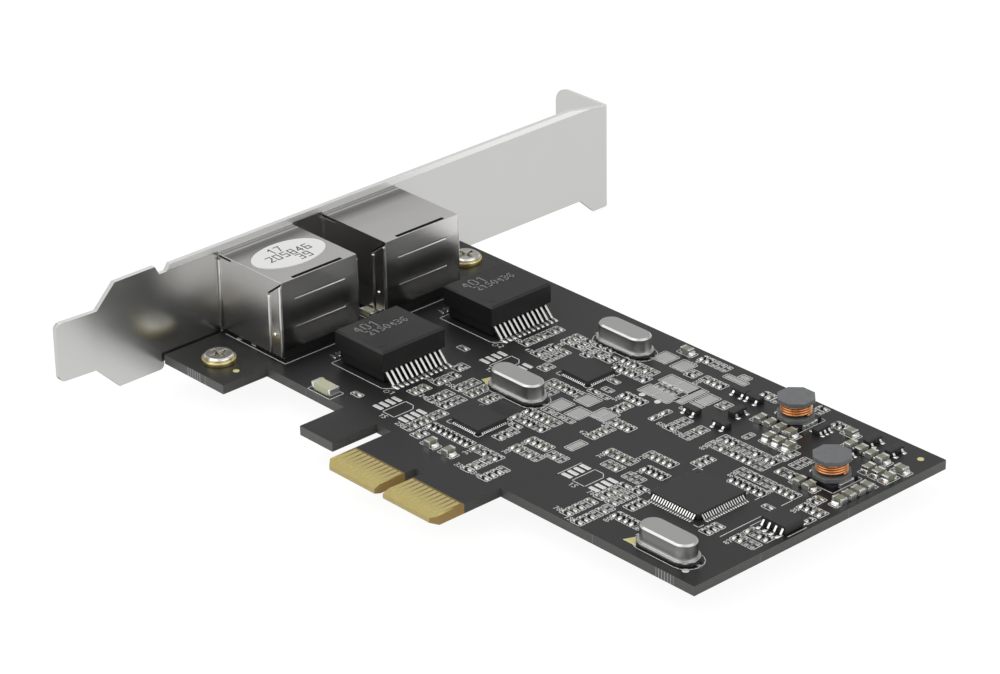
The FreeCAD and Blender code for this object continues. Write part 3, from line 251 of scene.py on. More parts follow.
def add_node(tree, kind, inputs=None, **settings):
    """Adds a shader node, with its settings as attributes and its inputs fed from a dictionary."""
    node = tree.nodes.new("ShaderNode" + kind)
    for key, value in settings.items():
        setattr(node, key, value)
    for key, value in (inputs or {}).items():
        feed(tree, node.inputs[key], value)
    return node


def math_node(tree, operation, first, second=None, clamp=False):
    """The result of a Math node; each input is a number or a socket."""
    return add_node(tree, "Math", {0: first, 1: second}, operation=operation, use_clamp=clamp).outputs[0]


def mix_colours(tree, factor, first, second, blend="MIX"):
    """The result of a colour Mix node, whose colour sockets are its inputs 6 and 7."""
    inputs = {0: factor, 6: first, 7: second}
    return add_node(tree, "Mix", inputs, data_type="RGBA", blend_type=blend).outputs[2]


def mix_shaders(tree, factor, first, second):
    """The result of a Mix Shader node."""
    return add_node(tree, "MixShader", {0: factor, 1: first, 2: second}).outputs[0]


# %% Ramps, ranges and places
def grey_ramp(tree, value, steps):
    """A ColorRamp through steps of (place, grey), fed by a socket."""
    node = add_node(tree, "ValToRGB", {0: value})
    while len(node.color_ramp.elements) < len(steps):
        node.color_ramp.elements.new(0.5)
    for stop, (place, grey) in zip(node.color_ramp.elements, steps):
        stop.position = place
        stop.color = (grey, grey, grey, 1)
    return node.outputs[0]


def span(tree, value, low, high):
    """Maps a socket's range from low to high onto 0 to 1, and holds it there outside that range."""
    return add_node(tree, "MapRange", {"Value": value, "From Min": low, "From Max": high}).outputs[0]


def place_of(tree, key="Object"):
    """A point's place on its piece, or another output of a Texture Coordinate node."""
    return add_node(tree, "TexCoord").outputs[key]


def parts_of(tree, key):
    """The x, y and z of one output of a Texture Coordinate node."""
    return add_node(tree, "SeparateXYZ", {0: place_of(tree, key)}).outputs


def new_group(name, inputs, outputs):
    """Starts a node group with named sockets, given as (name, kind, default)."""
    tree = bpy.data.node_groups.new(name, "ShaderNodeTree")
    for socket_name, kind, default in inputs:
        socket = tree.interface.new_socket(socket_name, in_out="INPUT", socket_type="NodeSocket" + kind)
        socket.default_value = default
    for socket_name, kind in outputs:
        tree.interface.new_socket(socket_name, in_out="OUTPUT", socket_type="NodeSocket" + kind)
    return tree, tree.nodes.new("NodeGroupInput"), tree.nodes.new("NodeGroupOutput")


# %% The living surface group
def build_surface_group():
    """Colour and roughness with slow clouds and fine grain, and a normal with that grain as relief."""
    tree, given, result = new_group(
        "living_surface",
        [
            ("Colour", "Color", (0.5, 0.5, 0.5, 1)),
            ("Stretch", "Vector", (1, 1, 1)),
            ("Grain", "Float", 4000.0),
            ("Clouds", "Float", 120.0),
            ("Tint", "Float", 0.1),
            ("Roughness", "Float", 0.4),
            ("Roughness change", "Float", 0.1),
            ("Relief", "Float", 0.05),
        ],
        [("Colour", "Color"), ("Roughness", "Float"), ("Normal", "Vector")],
    )
    ins, out = given.outputs, result.inputs
    place = place_of(tree)
    stretched = add_node(tree, "VectorMath", {0: place, 1: ins["Stretch"]}, operation="MULTIPLY")
    fine = {"Vector": stretched.outputs[0], "Scale": ins["Grain"], "Detail": 3.0, "Roughness": 0.6}
    slow = {"Vector": place, "Scale": ins["Clouds"], "Detail": 4.0, "Roughness": 0.55}
    grain = add_node(tree, "TexNoise", fine).outputs["Fac"]
    clouds = add_node(tree, "TexNoise", slow).outputs["Fac"]
    swing = math_node(tree, "SUBTRACT", math_node(tree, "ADD", grain, clouds), 1.0)
    shade = math_node(tree, "ADD", math_node(tree, "MULTIPLY", swing, ins["Tint"]), 1.0)
    coloured = add_node(tree, "VectorMath", {0: ins["Colour"], "Scale": shade}, operation="SCALE")
    feed(tree, out["Colour"], coloured.outputs[0])
    roughened = math_node(tree, "MULTIPLY", swing, ins["Roughness change"])
    feed(tree, out["Roughness"], math_node(tree, "ADD", roughened, ins["Roughness"], clamp=True))
    bump = add_node(tree, "Bump", {"Height": grain, "Strength": ins["Relief"], "Distance": 0.04 * MM})
    feed(tree, out["Normal"], bump.outputs[0])
    return tree


living_surface = build_surface_group()


# %% A plain way to make a finish
def finish(name, colour, metallic=0.0, *, grain, tint, roughness, relief, stretch=(1, 1, 1), clouds=120.0,
           change=0.1, shader=None):
    """A material whose Principled shader takes colour, roughness and normal from the living surface.
    Constants that stay even, such as a coat, are set on the shader's own sockets."""
    material = bpy.data.materials.new(name)
    material.use_nodes = True
    tree = material.node_tree
    principled = tree.nodes["Principled BSDF"].inputs
    for key, value in {"Metallic": metallic, **(shader or {})}.items():
        principled[key].default_value = value
    values = {"Colour": (*colour, 1), "Stretch": stretch, "Grain": grain, "Clouds": clouds, "Tint": tint,
              "Roughness": roughness, "Roughness change": change, "Relief": relief}
    surface = add_node(tree, "Group", values, name="surface", node_tree=living_surface)
    for key, socket in (("Colour", "Base Color"), ("Roughness", "Roughness"), ("Normal", "Normal")):
        feed(tree, principled[socket], surface.outputs[key])
    return material


# %% [markdown]
# ## Metals, mouldings and paper
# The bracket is satin nickel over steel, the jack shells are brighter and smoother, and the
# solder is rough tin. Mouldings are near black; only their grain and sheen tell them
# apart. The enamel on the copper wire is a clear coat over the metal.

# %% Simple finishes
screw_metal = finish("bright_screw", (0.66, 0.65, 0.62), 1.0, grain=6000, tint=0.06, roughness=0.22, relief=0.04)
tin = finish("tinned_lead", (0.72, 0.72, 0.70), 1.0, grain=5000, clouds=700, tint=0.1, roughness=0.3,
             change=0.15, relief=0.06)
solder = finish("solder", (0.70, 0.70, 0.68), 1.0, grain=2500, clouds=900, tint=0.12, roughness=0.24,
                change=0.15, relief=0.12)
gold = finish("contact_gold", (0.90, 0.77, 0.36), 1.0, stretch=(1, 0.1, 1), grain=4000, clouds=300,
              tint=0.08, roughness=0.28, change=0.06, relief=0.015)
bare_gold = finish("bare_gold", (0.80, 0.76, 0.36), 0.6, grain=5000, clouds=500, tint=0.12, roughness=0.4,
                   relief=0.05)
copper = finish("enamelled_copper", (0.66, 0.27, 0.09), 1.0, grain=4000, clouds=800, tint=0.15, roughness=0.2,
                change=0.1, relief=0.03, shader={"Coat Weight": 0.7, "Coat Roughness": 0.1})
moulding = finish("black_moulding", (0.011, 0.011, 0.011), grain=9000, clouds=250, tint=0.2, roughness=0.42,
                  change=0.12, relief=0.25, shader={"Specular IOR Level": 0.4})
epoxy = finish("chip_epoxy", (0.021, 0.021, 0.022), grain=12000, clouds=300, tint=0.25, roughness=0.5,
               change=0.1, relief=0.3, shader={"Specular IOR Level": 0.42})
ferrite = finish("ferrite", (0.140, 0.145, 0.147), grain=6000, clouds=900, tint=0.5, roughness=0.42,
                 change=0.15, relief=0.35)
ceramic = finish("ceramic", (0.22, 0.225, 0.165), grain=6000, clouds=900, tint=0.2, roughness=0.4, relief=0.15)
glaze = finish("resistor_glaze", (0.012, 0.012, 0.013), grain=6000, clouds=900, tint=0.3, roughness=0.3, relief=0.1)
pale_ceramic = finish("pale_ceramic", (0.50, 0.50, 0.35), grain=6000, clouds=900, tint=0.1, roughness=0.35,
                      relief=0.1)
paper = finish("sticker_paper", (0.80, 0.80, 0.78), grain=3500, clouds=300, tint=0.05, roughness=0.55, relief=0.2)
ink = finish("black_ink", (0.03, 0.03, 0.035), grain=5000, clouds=900, tint=0.4, roughness=0.6, relief=0.1)
grey_ink = finish("grey_ink", (0.22, 0.22, 0.22), grain=6000, clouds=1500, tint=0.4, roughness=0.6, relief=0.1)
# flat near-black for the painted shadow laid in the shells' gaps
painted_shadow_black = finish("painted_slot_shadow", (0.004, 0.004, 0.004), grain=6000, tint=0.3, roughness=0.7, relief=0.05,
                      shader={"Specular IOR Level": 0.1})
silk = finish("white_print", (0.70, 0.70, 0.69), grain=7000, clouds=1500, tint=0.25, roughness=0.6, relief=0.4)
clear_pipe = finish("light_pipe", (0.72, 0.74, 0.66), grain=4000, clouds=400, tint=0.06, roughness=0.18, relief=0.03,
                    shader={"Transmission Weight": 0.35, "IOR": 1.49})
print(f"{len(bpy.data.materials)} materials")

# %% [markdown]
# ## The board's finish
# Black solder mask covers both faces. The milled edges show the pale fibreglass, and the
# contact tongue has no mask, so its bare laminate is a brownish yellow. The
# masks for these come from the face's direction and its place along the card.

# %% Bare laminate
TONGUE_MASK_LINE = 6.1 * MM
TONGUE_HALF = 12.6 * MM
# the cutter left teeth at two places of the lower edge: their middles, half width, pitch and share
MILL_MARKS = (-49.8 * MM, 46.9 * MM)
MILL_HALF = 1.8 * MM
MILL_PITCH = 0.6 * MM
MILL_TOOTH = 0.35


def stretched_noise(tree, scale, detail):
    """Noise over the piece's own place, finer or coarser along each axis."""
    scaled = add_node(tree, "Mapping", {"Vector": place_of(tree), "Scale": scale}).outputs[0]
    return add_node(tree, "TexNoise", {"Vector": scaled, "Scale": 1.0, "Detail": detail}).outputs["Fac"]


def within(tree, value, middle, half):
    """1 where a value lies no farther than half from a middle, else 0."""
    off = math_node(tree, "ABSOLUTE", math_node(tree, "SUBTRACT", value, middle))
    return math_node(tree, "LESS_THAN", off, half)


def milled_edge(tree, fibres):
    """Dark fibreglass with pale streaks, and pale teeth where the cutter left the lower edge."""
    place, facing = parts_of(tree, "Object"), parts_of(tree, "Normal")
    streak = span(tree, stretched_noise(tree, (1600, 1600, 60), 2.0), 0.69, 0.82)
    colour = mix_colours(tree, fibres, (0.048, 0.048, 0.046, 1), (0.11, 0.11, 0.105, 1))
    colour = mix_colours(tree, streak, colour, (0.24, 0.24, 0.23, 1))
    tooth = math_node(tree, "FRACT", math_node(tree, "DIVIDE", place[0], MILL_PITCH))
    marks = math_node(tree, "ADD", *(within(tree, place[0], x, MILL_HALF) for x in MILL_MARKS))
    marked = math_node(tree, "MULTIPLY", math_node(tree, "LESS_THAN", tooth, MILL_TOOTH), marks)
    lower = math_node(tree, "LESS_THAN", facing[1], -0.5)
    return mix_colours(tree, math_node(tree, "MULTIPLY", marked, lower), colour, (0.30, 0.30, 0.29, 1))


def bare_laminate(tree, fibres):
    """Yellow on the tip's slope, brown on the sides, and brown to yellow between the contacts."""
    place, facing = parts_of(tree, "Object"), parts_of(tree, "Normal")
    slope = mix_colours(tree, fibres, (0.40, 0.32, 0.10, 1), (0.52, 0.43, 0.16, 1))
    side = mix_colours(tree, fibres, (0.26, 0.16, 0.045, 1), (0.40, 0.26, 0.08, 1))
    sideways = math_node(tree, "GREATER_THAN", math_node(tree, "ABSOLUTE", facing[0]), 0.5)
    sideways = math_node(tree, "MULTIPLY", sideways, within(tree, facing[2], 0.0, 0.5))
    to_tip = span(tree, place[1], TONGUE_MASK_LINE * 0.75, TONGUE_MASK_LINE * 0.3)
    between = mix_colours(tree, to_tip, (0.20, 0.13, 0.03, 1), (0.58, 0.49, 0.13, 1))
    flat = math_node(tree, "GREATER_THAN", math_node(tree, "ABSOLUTE", facing[2]), 0.95)
    return mix_colours(tree, flat, mix_colours(tree, sideways, slope, side), between)


# %% Board finish
def recoloured(material, colour):
    """Feeds a colour to the material's shader in place of the surface's own."""
    tree = material.node_tree
    feed(tree, tree.nodes["Principled BSDF"].inputs["Base Color"], colour)
    return material


def build_board_finish():
    """Solder mask by default, laminate on the upright edges, bare yellow laminate on the tongue."""
    material = finish("solder_mask", (0.014, 0.014, 0.0145), grain=5000, clouds=160, tint=0.25, roughness=0.36,
                      change=0.1, relief=0.12, shader={"Specular IOR Level": 0.44})
    tree = material.node_tree
    place, facing = parts_of(tree, "Object"), parts_of(tree, "Normal")
    fibres = stretched_noise(tree, (900, 900, 7000), 3.0)
    upright = within(tree, facing[2], 0.0, 0.5)
    masked = mix_colours(tree, upright, tree.nodes["surface"].outputs["Colour"], milled_edge(tree, fibres))
    low = math_node(tree, "LESS_THAN", place[1], TONGUE_MASK_LINE)
    tongue = math_node(tree, "MULTIPLY", low, within(tree, place[0], 0.0, TONGUE_HALF))
    return recoloured(material, mix_colours(tree, tongue, masked, bare_laminate(tree, fibres)))


board_finish = build_board_finish()
print(f"solder mask with {len(board_finish.node_tree.nodes)} nodes")

# %% [markdown]
# ## Sheet metal finishes
# Bent and drawn metal needs masks of its own. The bracket's rim is rougher than its face and
# carries a painted highlight, paler on faces turned up and darker on those turned towards -Y, and
# its lower edges carry painted shade. The jack shells carry painted shade: painted bands of shade and
# highlight where the roof meets the bracket, slightly darker walls, and a rear that darkens towards the board,
# where the real ones mirror all the parts in front of them. The sides of the crystals' cans carry painted shade that
# darkens upwards.

# %% Measures of the sheets
BOARD_GAP = 0.4
PLATE_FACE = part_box("circuit_board")[0].x - BOARD_GAP * MM
JACK_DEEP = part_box("jack_1_shell")[1].x - PLATE_FACE
JACK_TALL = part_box("jack_1_shell")[1].z
print(f"jacks {JACK_DEEP / MM:.1f} mm deep and {JACK_TALL / MM:.1f} mm tall")

# %% Bracket finish
# the bracket's rim takes its painted highlight and extra roughness from here on, past the notch at its lower end, and
# fades in over this height
RIM_FROM = 5.7 * MM
RIM_SOFT = 0.2 * MM
RIM_ROUGHER = 0.3


def build_bracket_finish():
    """Satin nickel with a rougher upper rim carrying a painted highlight, and painted shade on the undersides."""
    material = finish("satin_nickel", (0.56, 0.56, 0.545), 1.0, stretch=(1, 0.15, 1), grain=9000, clouds=60,
                      tint=0.04, roughness=0.24, change=0.06, relief=0.02)
    tree = material.node_tree
    surface = tree.nodes["surface"].outputs
    place, facing = parts_of(tree, "Object"), parts_of(tree, "Normal")
    high = span(tree, place[2], JACK_TALL + RIM_SOFT, JACK_TALL + 2 * RIM_SOFT)
    high = math_node(tree, "MULTIPLY", high, math_node(tree, "GREATER_THAN", place[1], RIM_FROM))
    rim = math_node(tree, "MAXIMUM", high, span(tree, facing[2], 0.2, 0.6))
    rougher = math_node(tree, "ADD", surface["Roughness"], math_node(tree, "MULTIPLY", rim, RIM_ROUGHER))
    feed(tree, tree.nodes["Principled BSDF"].inputs["Roughness"], rougher)
    # painted highlight on the rim, with a darker grey on rim faces turned towards -Y
    aslant = span(tree, facing[1], -0.2, -0.5)
    painted_rim_highlight = mix_colours(tree, aslant, (0.86, 0.86, 0.85, 1), (0.50, 0.50, 0.49, 1))
    colour = mix_colours(tree, rim, surface["Colour"], painted_rim_highlight)
    # painted shade: faces turned down go near black
    down = span(tree, facing[2], -0.08, -0.45)
    return recoloured(material, mix_colours(tree, down, colour, (0.08, 0.08, 0.08, 1)))


steel = build_bracket_finish()

# %% Finishes of the jacks and the crystals
# part of the way from the bracket to the jack's rear, and how bright the roof's painted bands of shade and highlight
# leave it there
ROOF_PAINTED_SHADE = [(0.0, 0.5), (0.04, 0.5), (0.05, 0.2), (0.06, 0.2), (0.07, 0.56), (0.09, 0.56), (0.105, 0.27),
              (0.19, 0.33), (0.34, 0.8), (0.6, 0.94), (1.0, 1.0)]
# part of the way up the jack, and how bright the painted shade leaves its rear there
REAR_PAINTED_SHADE = [(0.0, 0.12), (0.3, 0.32), (0.4, 0.40), (0.42, 0.6), (0.72, 0.72), (0.78, 0.9), (1.0, 0.82)]
# part of the way up a crystal, and how bright the painted shade leaves its side there
CAN_PAINTED_SHADE = [(0.0, 1.0), (0.25, 1.0), (0.4, 0.62), (0.95, 0.32), (1.0, 0.6)]


def darkened(material, shade):
    """Multiplies the surface's own colour by a grey, for painted shade."""
    tree = material.node_tree
    return recoloured(material, mix_colours(tree, 1.0, tree.nodes["surface"].outputs["Colour"], shade, "MULTIPLY"))


def build_shell_finish():
    """Nickel-plated sheet with painted shade: the roof brightens away from the bracket through painted bands, the side
    walls are a little darker, and the rear darkens towards the board.
    """
    material = finish("shield_nickel", (0.80, 0.79, 0.77), 1.0, stretch=(1, 0.3, 0.3), grain=7000, clouds=90,
                      tint=0.05, roughness=0.24, change=0.06, relief=0.015)
    tree = material.node_tree
    place, facing = parts_of(tree, "Object"), parts_of(tree, "Normal")
    along = grey_ramp(tree, span(tree, place[0], PLATE_FACE, PLATE_FACE + JACK_DEEP), ROOF_PAINTED_SHADE)
    high = grey_ramp(tree, span(tree, place[2], 0.0, JACK_TALL), REAR_PAINTED_SHADE)
    # painted shade: walls at 0.9, the roof in painted bands of shade and highlight, the rear darker towards the board
    shade = mix_colours(tree, math_node(tree, "GREATER_THAN", facing[2], 0.7), (0.90, 0.90, 0.90, 1), along)
    return darkened(material, mix_colours(tree, math_node(tree, "GREATER_THAN", facing[0], 0.7), shade, high))


def build_can_finish():
    """Drawn can metal whose upright sides carry painted shade, darker towards the top."""
    material = finish("crystal_can", (0.56, 0.56, 0.55), 1.0, stretch=(0.3, 1, 1), grain=5000, clouds=150,
                      tint=0.05, roughness=0.36, change=0.05, relief=0.004)
    tree = material.node_tree
    place, facing = parts_of(tree, "Object"), parts_of(tree, "Normal")
    high = grey_ramp(tree, span(tree, place[2], 0.0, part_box("crystal_cans")[1].z), CAN_PAINTED_SHADE)
    # painted shade on the upright sides only
    return darkened(material, mix_colours(tree, within(tree, facing[2], 0.0, 0.4), (1, 1, 1, 1), high))


shield = build_shell_finish()
crystal_metal = build_can_finish()
print(f"roof in {len(ROOF_PAINTED_SHADE)} steps, rear in {len(REAR_PAINTED_SHADE)}, crystals in {len(CAN_PAINTED_SHADE)}")

# %% Give every solid its finish
FINISHES = {
    "board": board_finish, "gold": gold, "bracket_steel": steel, "screw_steel": screw_metal, "tin": tin,
    "shell_metal": shield, "black_moulding": moulding, "light_pipe": clear_pipe, "paper": paper,
    "chip_moulding": epoxy, "can_metal": crystal_metal, "ferrite": ferrite, "copper": copper,
    "ceramic_body": ceramic, "resistor_body": glaze, "pale_ceramic": pale_ceramic,
}
OWN_FINISHES = {"jack_capacitor_block": pale_ceramic}
slot_of = {row["node"]: row["material_slot"] for row in frame["record"]["subparts"]}
for node_name, solid in nodes.items():
    for place in solid.material_slots:
        place.material = FINISHES[slot_of[node_name]]
print({name: sum(slot == name for slot in slot_of.values()) for name in FINISHES})

# %% [markdown]
# ## Rounded edges
# A sharp computer edge catches no light. Real bends and mouldings have small radii that
# show as thin bright lines. Each main solid is copied, its triangles are
# welded, flat neighbours are melted together, and a Bevel modifier rounds what stays sharp.
# Weighted normals then keep the large faces flat beside their rounded edges.


# %% Dress a solid
WELD = 0.0005 * MM
FLAT_ENOUGH = math.radians(0.5)
SHARP = math.radians(35)


def welded(node_name):
    """A solid's mesh to work on, with the corners of its loose triangles merged."""
    work = bmesh.new()
    work.from_mesh(nodes[node_name].data)
    bmesh.ops.remove_doubles(work, verts=work.verts, dist=WELD)
    return work


def dressed(node_name, width):
    """A welded copy of a solid with softly rounded edges, standing in for it."""
    work = welded(node_name)
    bmesh.ops.dissolve_limit(work, angle_limit=FLAT_ENOUGH, verts=work.verts, edges=work.edges)
    mesh = bpy.data.meshes.new(node_name + "_dressed")
    work.to_mesh(mesh)
    work.free()
    mesh.materials.append(OWN_FINISHES.get(node_name, FINISHES[slot_of[node_name]]))
    mesh.polygons.foreach_set("use_smooth", np.ones(len(mesh.polygons), bool))
    made = bpy.data.objects.new(node_name + "_dressed", mesh)
    bpy.context.scene.collection.objects.link(made)
    rounding = made.modifiers.new("rounding", "BEVEL")
    rounding.width = width * MM
    rounding.segments = 2
    rounding.limit_method = "ANGLE"
    rounding.angle_limit = SHARP
    evened = made.modifiers.new("evened", "WEIGHTED_NORMAL")
    evened.weight = 100
    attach(made, "root")
    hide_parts(node_name)


EDGE_RADII = {
    "bracket": 0.2, "jack_1_shell": 0.07, "jack_2_shell": 0.07, "jack_1_housing": 0.06, "jack_2_housing": 0.06,
    "transformer_1_body": 0.12, "transformer_2_body": 0.12, "bridge_chip_body": 0.05, "memory_chip_body": 0.05,
    "controller_chip_1": 0.04, "controller_chip_2": 0.04, "crystal_cans": 0.06, "crystal_bases": 0.05,
    "inductor_cores": 0.1, "inductor_bases": 0.05, "bracket_screws": 0.08, "transistor_bodies": 0.04,
    "regulator_bodies": 0.04, "oval_sticker": 0.02, "pale_capacitor_block": 0.08, "pale_capacitor_ends": 0.06,
    "jack_capacitor_block": 0.06, "jack_capacitor_ends": 0.05, "ceramic_capacitor_blocks": 0.05,
    "ceramic_capacitor_ends": 0.05, "chip_resistor_ends": 0.03, "jack_1_lights": 0.05, "jack_2_lights": 0.05,
    "screw_lands": 0.08, "transformer_1_leads": 0.04, "transformer_2_leads": 0.04, "memory_chip_leads": 0.03,
}
for node_name, width in EDGE_RADII.items():
    dressed(node_name, width)
print(f"{len(EDGE_RADII)} solids with rounded edges")

# %% [markdown]
# ## Where the small parts sit
# Places were read off the photograph from the bracket: X from the plate's inner face, and
# Y from a line 16.3 mm below the tip of the contact tongue. Rows of small parts are
# noted that way below, and one shift moves them into the card's own frame.

# %% Rows of small footprints
LINE_BELOW_TONGUE = 16.3
board_low, board_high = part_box("circuit_board")
SHIFT = np.array([board_low.x / MM - BOARD_GAP, board_low.y / MM - LINE_BELOW_TONGUE])

# first x, first y, step along x, step along y, turn, copies
FOOTPRINT_ROWS = [
    # round the first controller chip
    (38.1, 40.8, 0, 1.25, 0, 3), (38.2, 45.6, 0, 1.25, 0, 4), (36.9, 51.2, 0, 1.3, 0, 2),
    (42.1, 41.0, 0, 1.2, 0, 4), (44.9, 41.0, 0, 1.2, 0, 4), (42.1, 46.6, 0, 1.2, 0, 4), (44.9, 46.6, 0, 1.2, 0, 4),
    (48.2, 46.8, 0, 1.3, 0, 3),
    # between that chip and the contacts
    (46.4, 32.2, 0, 1.2, 0, 7), (48.5, 35.5, 1.2, 0, 90, 8), (58.6, 35.5, 1.2, 0, 90, 5),
    (49.3, 31.6, 0, 1.25, 0, 2), (62.7, 29.9, 0, 1.3, 0, 4), (66.5, 29.9, 0, 1.3, 0, 4),
    # middle of the board
    (55.4, 46.9, 1.2, 0, 90, 6), (55.4, 49.5, 1.2, 0, 90, 6), (58.5, 40.2, 0, 1.5, 0, 3), (57.6, 44.6, 1, 0, 0, 1),
    (62.6, 39.9, 1.25, 0, 90, 5), (62.6, 43.2, 1.25, 0, 90, 4), (68.0, 42.3, 1.25, 0, 90, 3),
    (68.2, 50.6, 0, 1.25, 0, 4), (66.9, 56.5, 1.25, 0, 90, 4),
    # round the second controller chip
    (50.6, 58.8, 1.25, 0, 90, 6), (51.0, 56.2, 1.25, 0, 90, 3), (57.2, 51.7, 2.4, 0, 0, 3),
    (42.0, 63.7, 0, 1.25, 0, 4), (44.5, 63.7, 0, 1.25, 0, 4), (42.2, 70.2, 2.3, 0, 0, 5),
    (42.2, 71.5, 2.3, 0, 0, 5), (42.2, 72.8, 2.3, 0, 0, 4), (53.5, 72.3, 1.25, 0, 90, 6),
    (54.3, 69.8, 1.25, 0, 90, 6),
    # upper middle, out to the second transformer
    (61.8, 81.6, 1.25, 0, 90, 5), (64.3, 76.0, 0, 1.25, 0, 2), (66.8, 76.8, 1.25, 0, 90, 4),
    (63.3, 70.2, 1.2, 0, 90, 4), (75.2, 71.8, 0, 1.25, 0, 2), (61.9, 63.9, 1.25, 0, 90, 4),
    (64.6, 59.2, 0, 1.25, 0, 3), (57.4, 65.9, 1, 0, 0, 1), (58.8, 63.2, 1, 0, 0, 1), (57.7, 61.2, 2.4, 0, 0, 2),
    (46.4, 61.0, 0, 1.25, 0, 2), (47.9, 69.0, 1, 0, 0, 1), (37.9, 64.9, 0, 1.25, 0, 7), (70.6, 61.9, 0, 2.3, 90, 2),
    (74.6, 61.0, 0, 1.25, 0, 4), (78.4, 60.8, 0, 1.25, 0, 4),
    # round the bridge chip
    (73.6, 49.2, 1.2, 0, 90, 5), (76.0, 46.4, 1.2, 0, 90, 3), (78.4, 53.0, 1.2, 0, 90, 5),
    (81.4, 49.4, 1.2, 0, 90, 4), (80.9, 46.0, 1.2, 0, 90, 3), (85.3, 38.3, 0, 1.25, 0, 6),
    (82.8, 38.3, 0, 1.25, 0, 5), (88.2, 39.2, 0, 1.25, 0, 3), (82.8, 31.4, 0, 1.25, 0, 5),
    (86.0, 30.6, 0, 1.25, 0, 6), (88.4, 36.3, 1.2, 0, 90, 5), (85.7, 55.9, 0, 1.25, 0, 3),
    (92.9, 56.3, 1.2, 0, 90, 6), (91.6, 59.1, 1.2, 0, 90, 6), (99.1, 59.1, 1.2, 0, 90, 4),
    (101.0, 42.1, 0, 1.25, 0, 3),
    # below the memory chip
    (105.2, 47.0, 1.2, 0, 90, 4), (105.2, 44.2, 1.2, 0, 90, 4), (102.3, 53.9, 1, 0, 0, 1),
    # above the bridge chip, out to the upper edge
    (82.6, 62.2, 1.2, 0, 90, 10), (82.6, 64.7, 1.2, 0, 90, 10), (95.9, 63.4, 1.2, 0, 90, 3),
    (84.8, 67.9, 1, 0, 90, 1), (93.2, 66.3, 0, 1.3, 0, 3), (91.6, 80.2, 1.2, 0, 90, 4), (86.7, 81.2, 0, 1.3, 0, 2),
    (105.6, 57.9, 1.2, 0, 90, 4), (105.8, 59.9, 0, 1.25, 0, 2), (109.2, 55.2, 1, 0, 90, 1),
    (77.1, 79.6, 1.3, 0, 90, 3), (96.4, 66.0, 0, 1.25, 0, 3),
    # beside the transformers
    (32.5, 34.0, 1, 0, 0, 1), (32.2, 56.7, 1, 0, 0, 1),
]


def row_places(rows):
    """Every copy of every row, as x, y and turn in the card's frame: place n is the first plus n steps."""
    made = []
    for x, y, step_x, step_y, turn, copies in rows:
        count = np.arange(copies)
        made.append(np.column_stack([x + step_x * count, y + step_y * count, np.full(copies, turn)]))
    return np.concatenate(made) + [*SHIFT, 0]


row_chips = row_places(FOOTPRINT_ROWS)
print(f"{len(row_chips)} places in {len(FOOTPRINT_ROWS)} rows")


# %% Places of the solids
def box_of(node_name):
    """A solid's box as an array of its low and its high corner, in millimetres."""
    return np.array(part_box(node_name)) / MM


def islands(node_name):
    """The box of each separate solid in a node, found by walking welded corners along their edges."""
    work = welded(node_name)
    left = set(work.verts)
    boxes = []
    while left:
        wave = [left.pop()]
        found = []
        while wave:
            vertex = wave.pop()
            found.append(vertex.co / MM)
            near = {edge.other_vert(vertex) for edge in vertex.link_edges} & left
            left -= near
            wave += near
        corners = np.array(found)
        boxes.append([corners.min(0), corners.max(0)])
    work.free()
    return np.array(sorted(boxes, key=lambda box: tuple(box[0])))


def chip_places(node_name):
    """Each chip of a node as x, y and turn: its middle, and 90 degrees if it is longer along Y."""
    boxes = islands(node_name)
    size = boxes[:, 1] - boxes[:, 0]
    return np.column_stack([boxes.mean(1)[:, :2], np.where(size[:, 1] > size[:, 0], 90.0, 0.0)])


# %% Keep the rows clear of the solids
# nearest that a row's footprint may come to the middle of a part that is there already
CLEAR = 1.15
# more large ceramics round the inductors, in the same columns
CERAMIC_ROWS = [
    (87.7, 69.4, 2.1, 0, 90, 3), (95.4, 79.4, 0, 1, 0, 1), (104.9, 72.9, 2.0, 0, 90, 3), (108.6, 76.1, 0, 1, 0, 1),
    (58.5, 81.2, 1, 0, 0, 1),
]
solid_chips = chip_places("chip_resistor_blocks")
row_ceramics = row_places(CERAMIC_ROWS)
all_ceramics = np.concatenate([chip_places("ceramic_capacitor_blocks"), row_ceramics])
taken = np.concatenate([solid_chips, all_ceramics])
apart = np.linalg.norm(row_chips[:, None, :2] - taken[None, :, :2], axis=2).min(1)
row_chips = row_chips[apart > CLEAR]
print(f"{len(row_chips)} footprints from rows, {len(solid_chips)} chips as solids, {len(all_ceramics)} large ceramics")

# %% [markdown]
# ## Chips, pads and solder
# About three footprints in five hold a part. A chip is a small glazed block with tinned
# ends, and solder climbs each end in a hollow curve. An empty footprint shows two
# low cushions of tin. One shape of each kind is stamped over all its places.

# %% Small chips
FILLED_SHARE = 0.62
BROWN_SHARE = 0.4
PAD_OUT = 0.56
END_OUT = 0.4
rng = np.random.default_rng(11)
filled = rng.random(len(row_chips)) < FILLED_SHARE
brown = rng.random(len(row_chips)) < BROWN_SHARE
cushion = raised(rounded_loop(0.62, 0.66, 0.14), [(1, 1, 0), (0.96, 0.96, 0.035), (0.7, 0.7, 0.06)])
skirt_levels = [(1, 1, 0), (0.93, 0.94, 0.03), (0.72, 0.9, 0.10), (0.5, 0.88, 0.26)]
skirts = pair(raised(rounded_loop(0.66, 0.62, 0.12), skirt_levels), PAD_OUT)
end_cap = raised(rounded_loop(0.25, 0.52, 0.04, 1), [(1, 1, 0.03), (1, 1, 0.34), (0.8, 0.9, 0.37)])
low_body = block(0.62, 0.48, 0.03, 0.34, 0.03, 0.03)
tall_body = block(0.62, 0.5, 0.03, 0.42, 0.05, 0.05)
soldered = np.concatenate([row_chips[filled], solid_chips])
piece("empty_pads", stamped(pair(cushion, PAD_OUT), row_chips[~filled]), solder)
piece("small_chip_solder", stamped(skirts, soldered), solder, smooth=True)
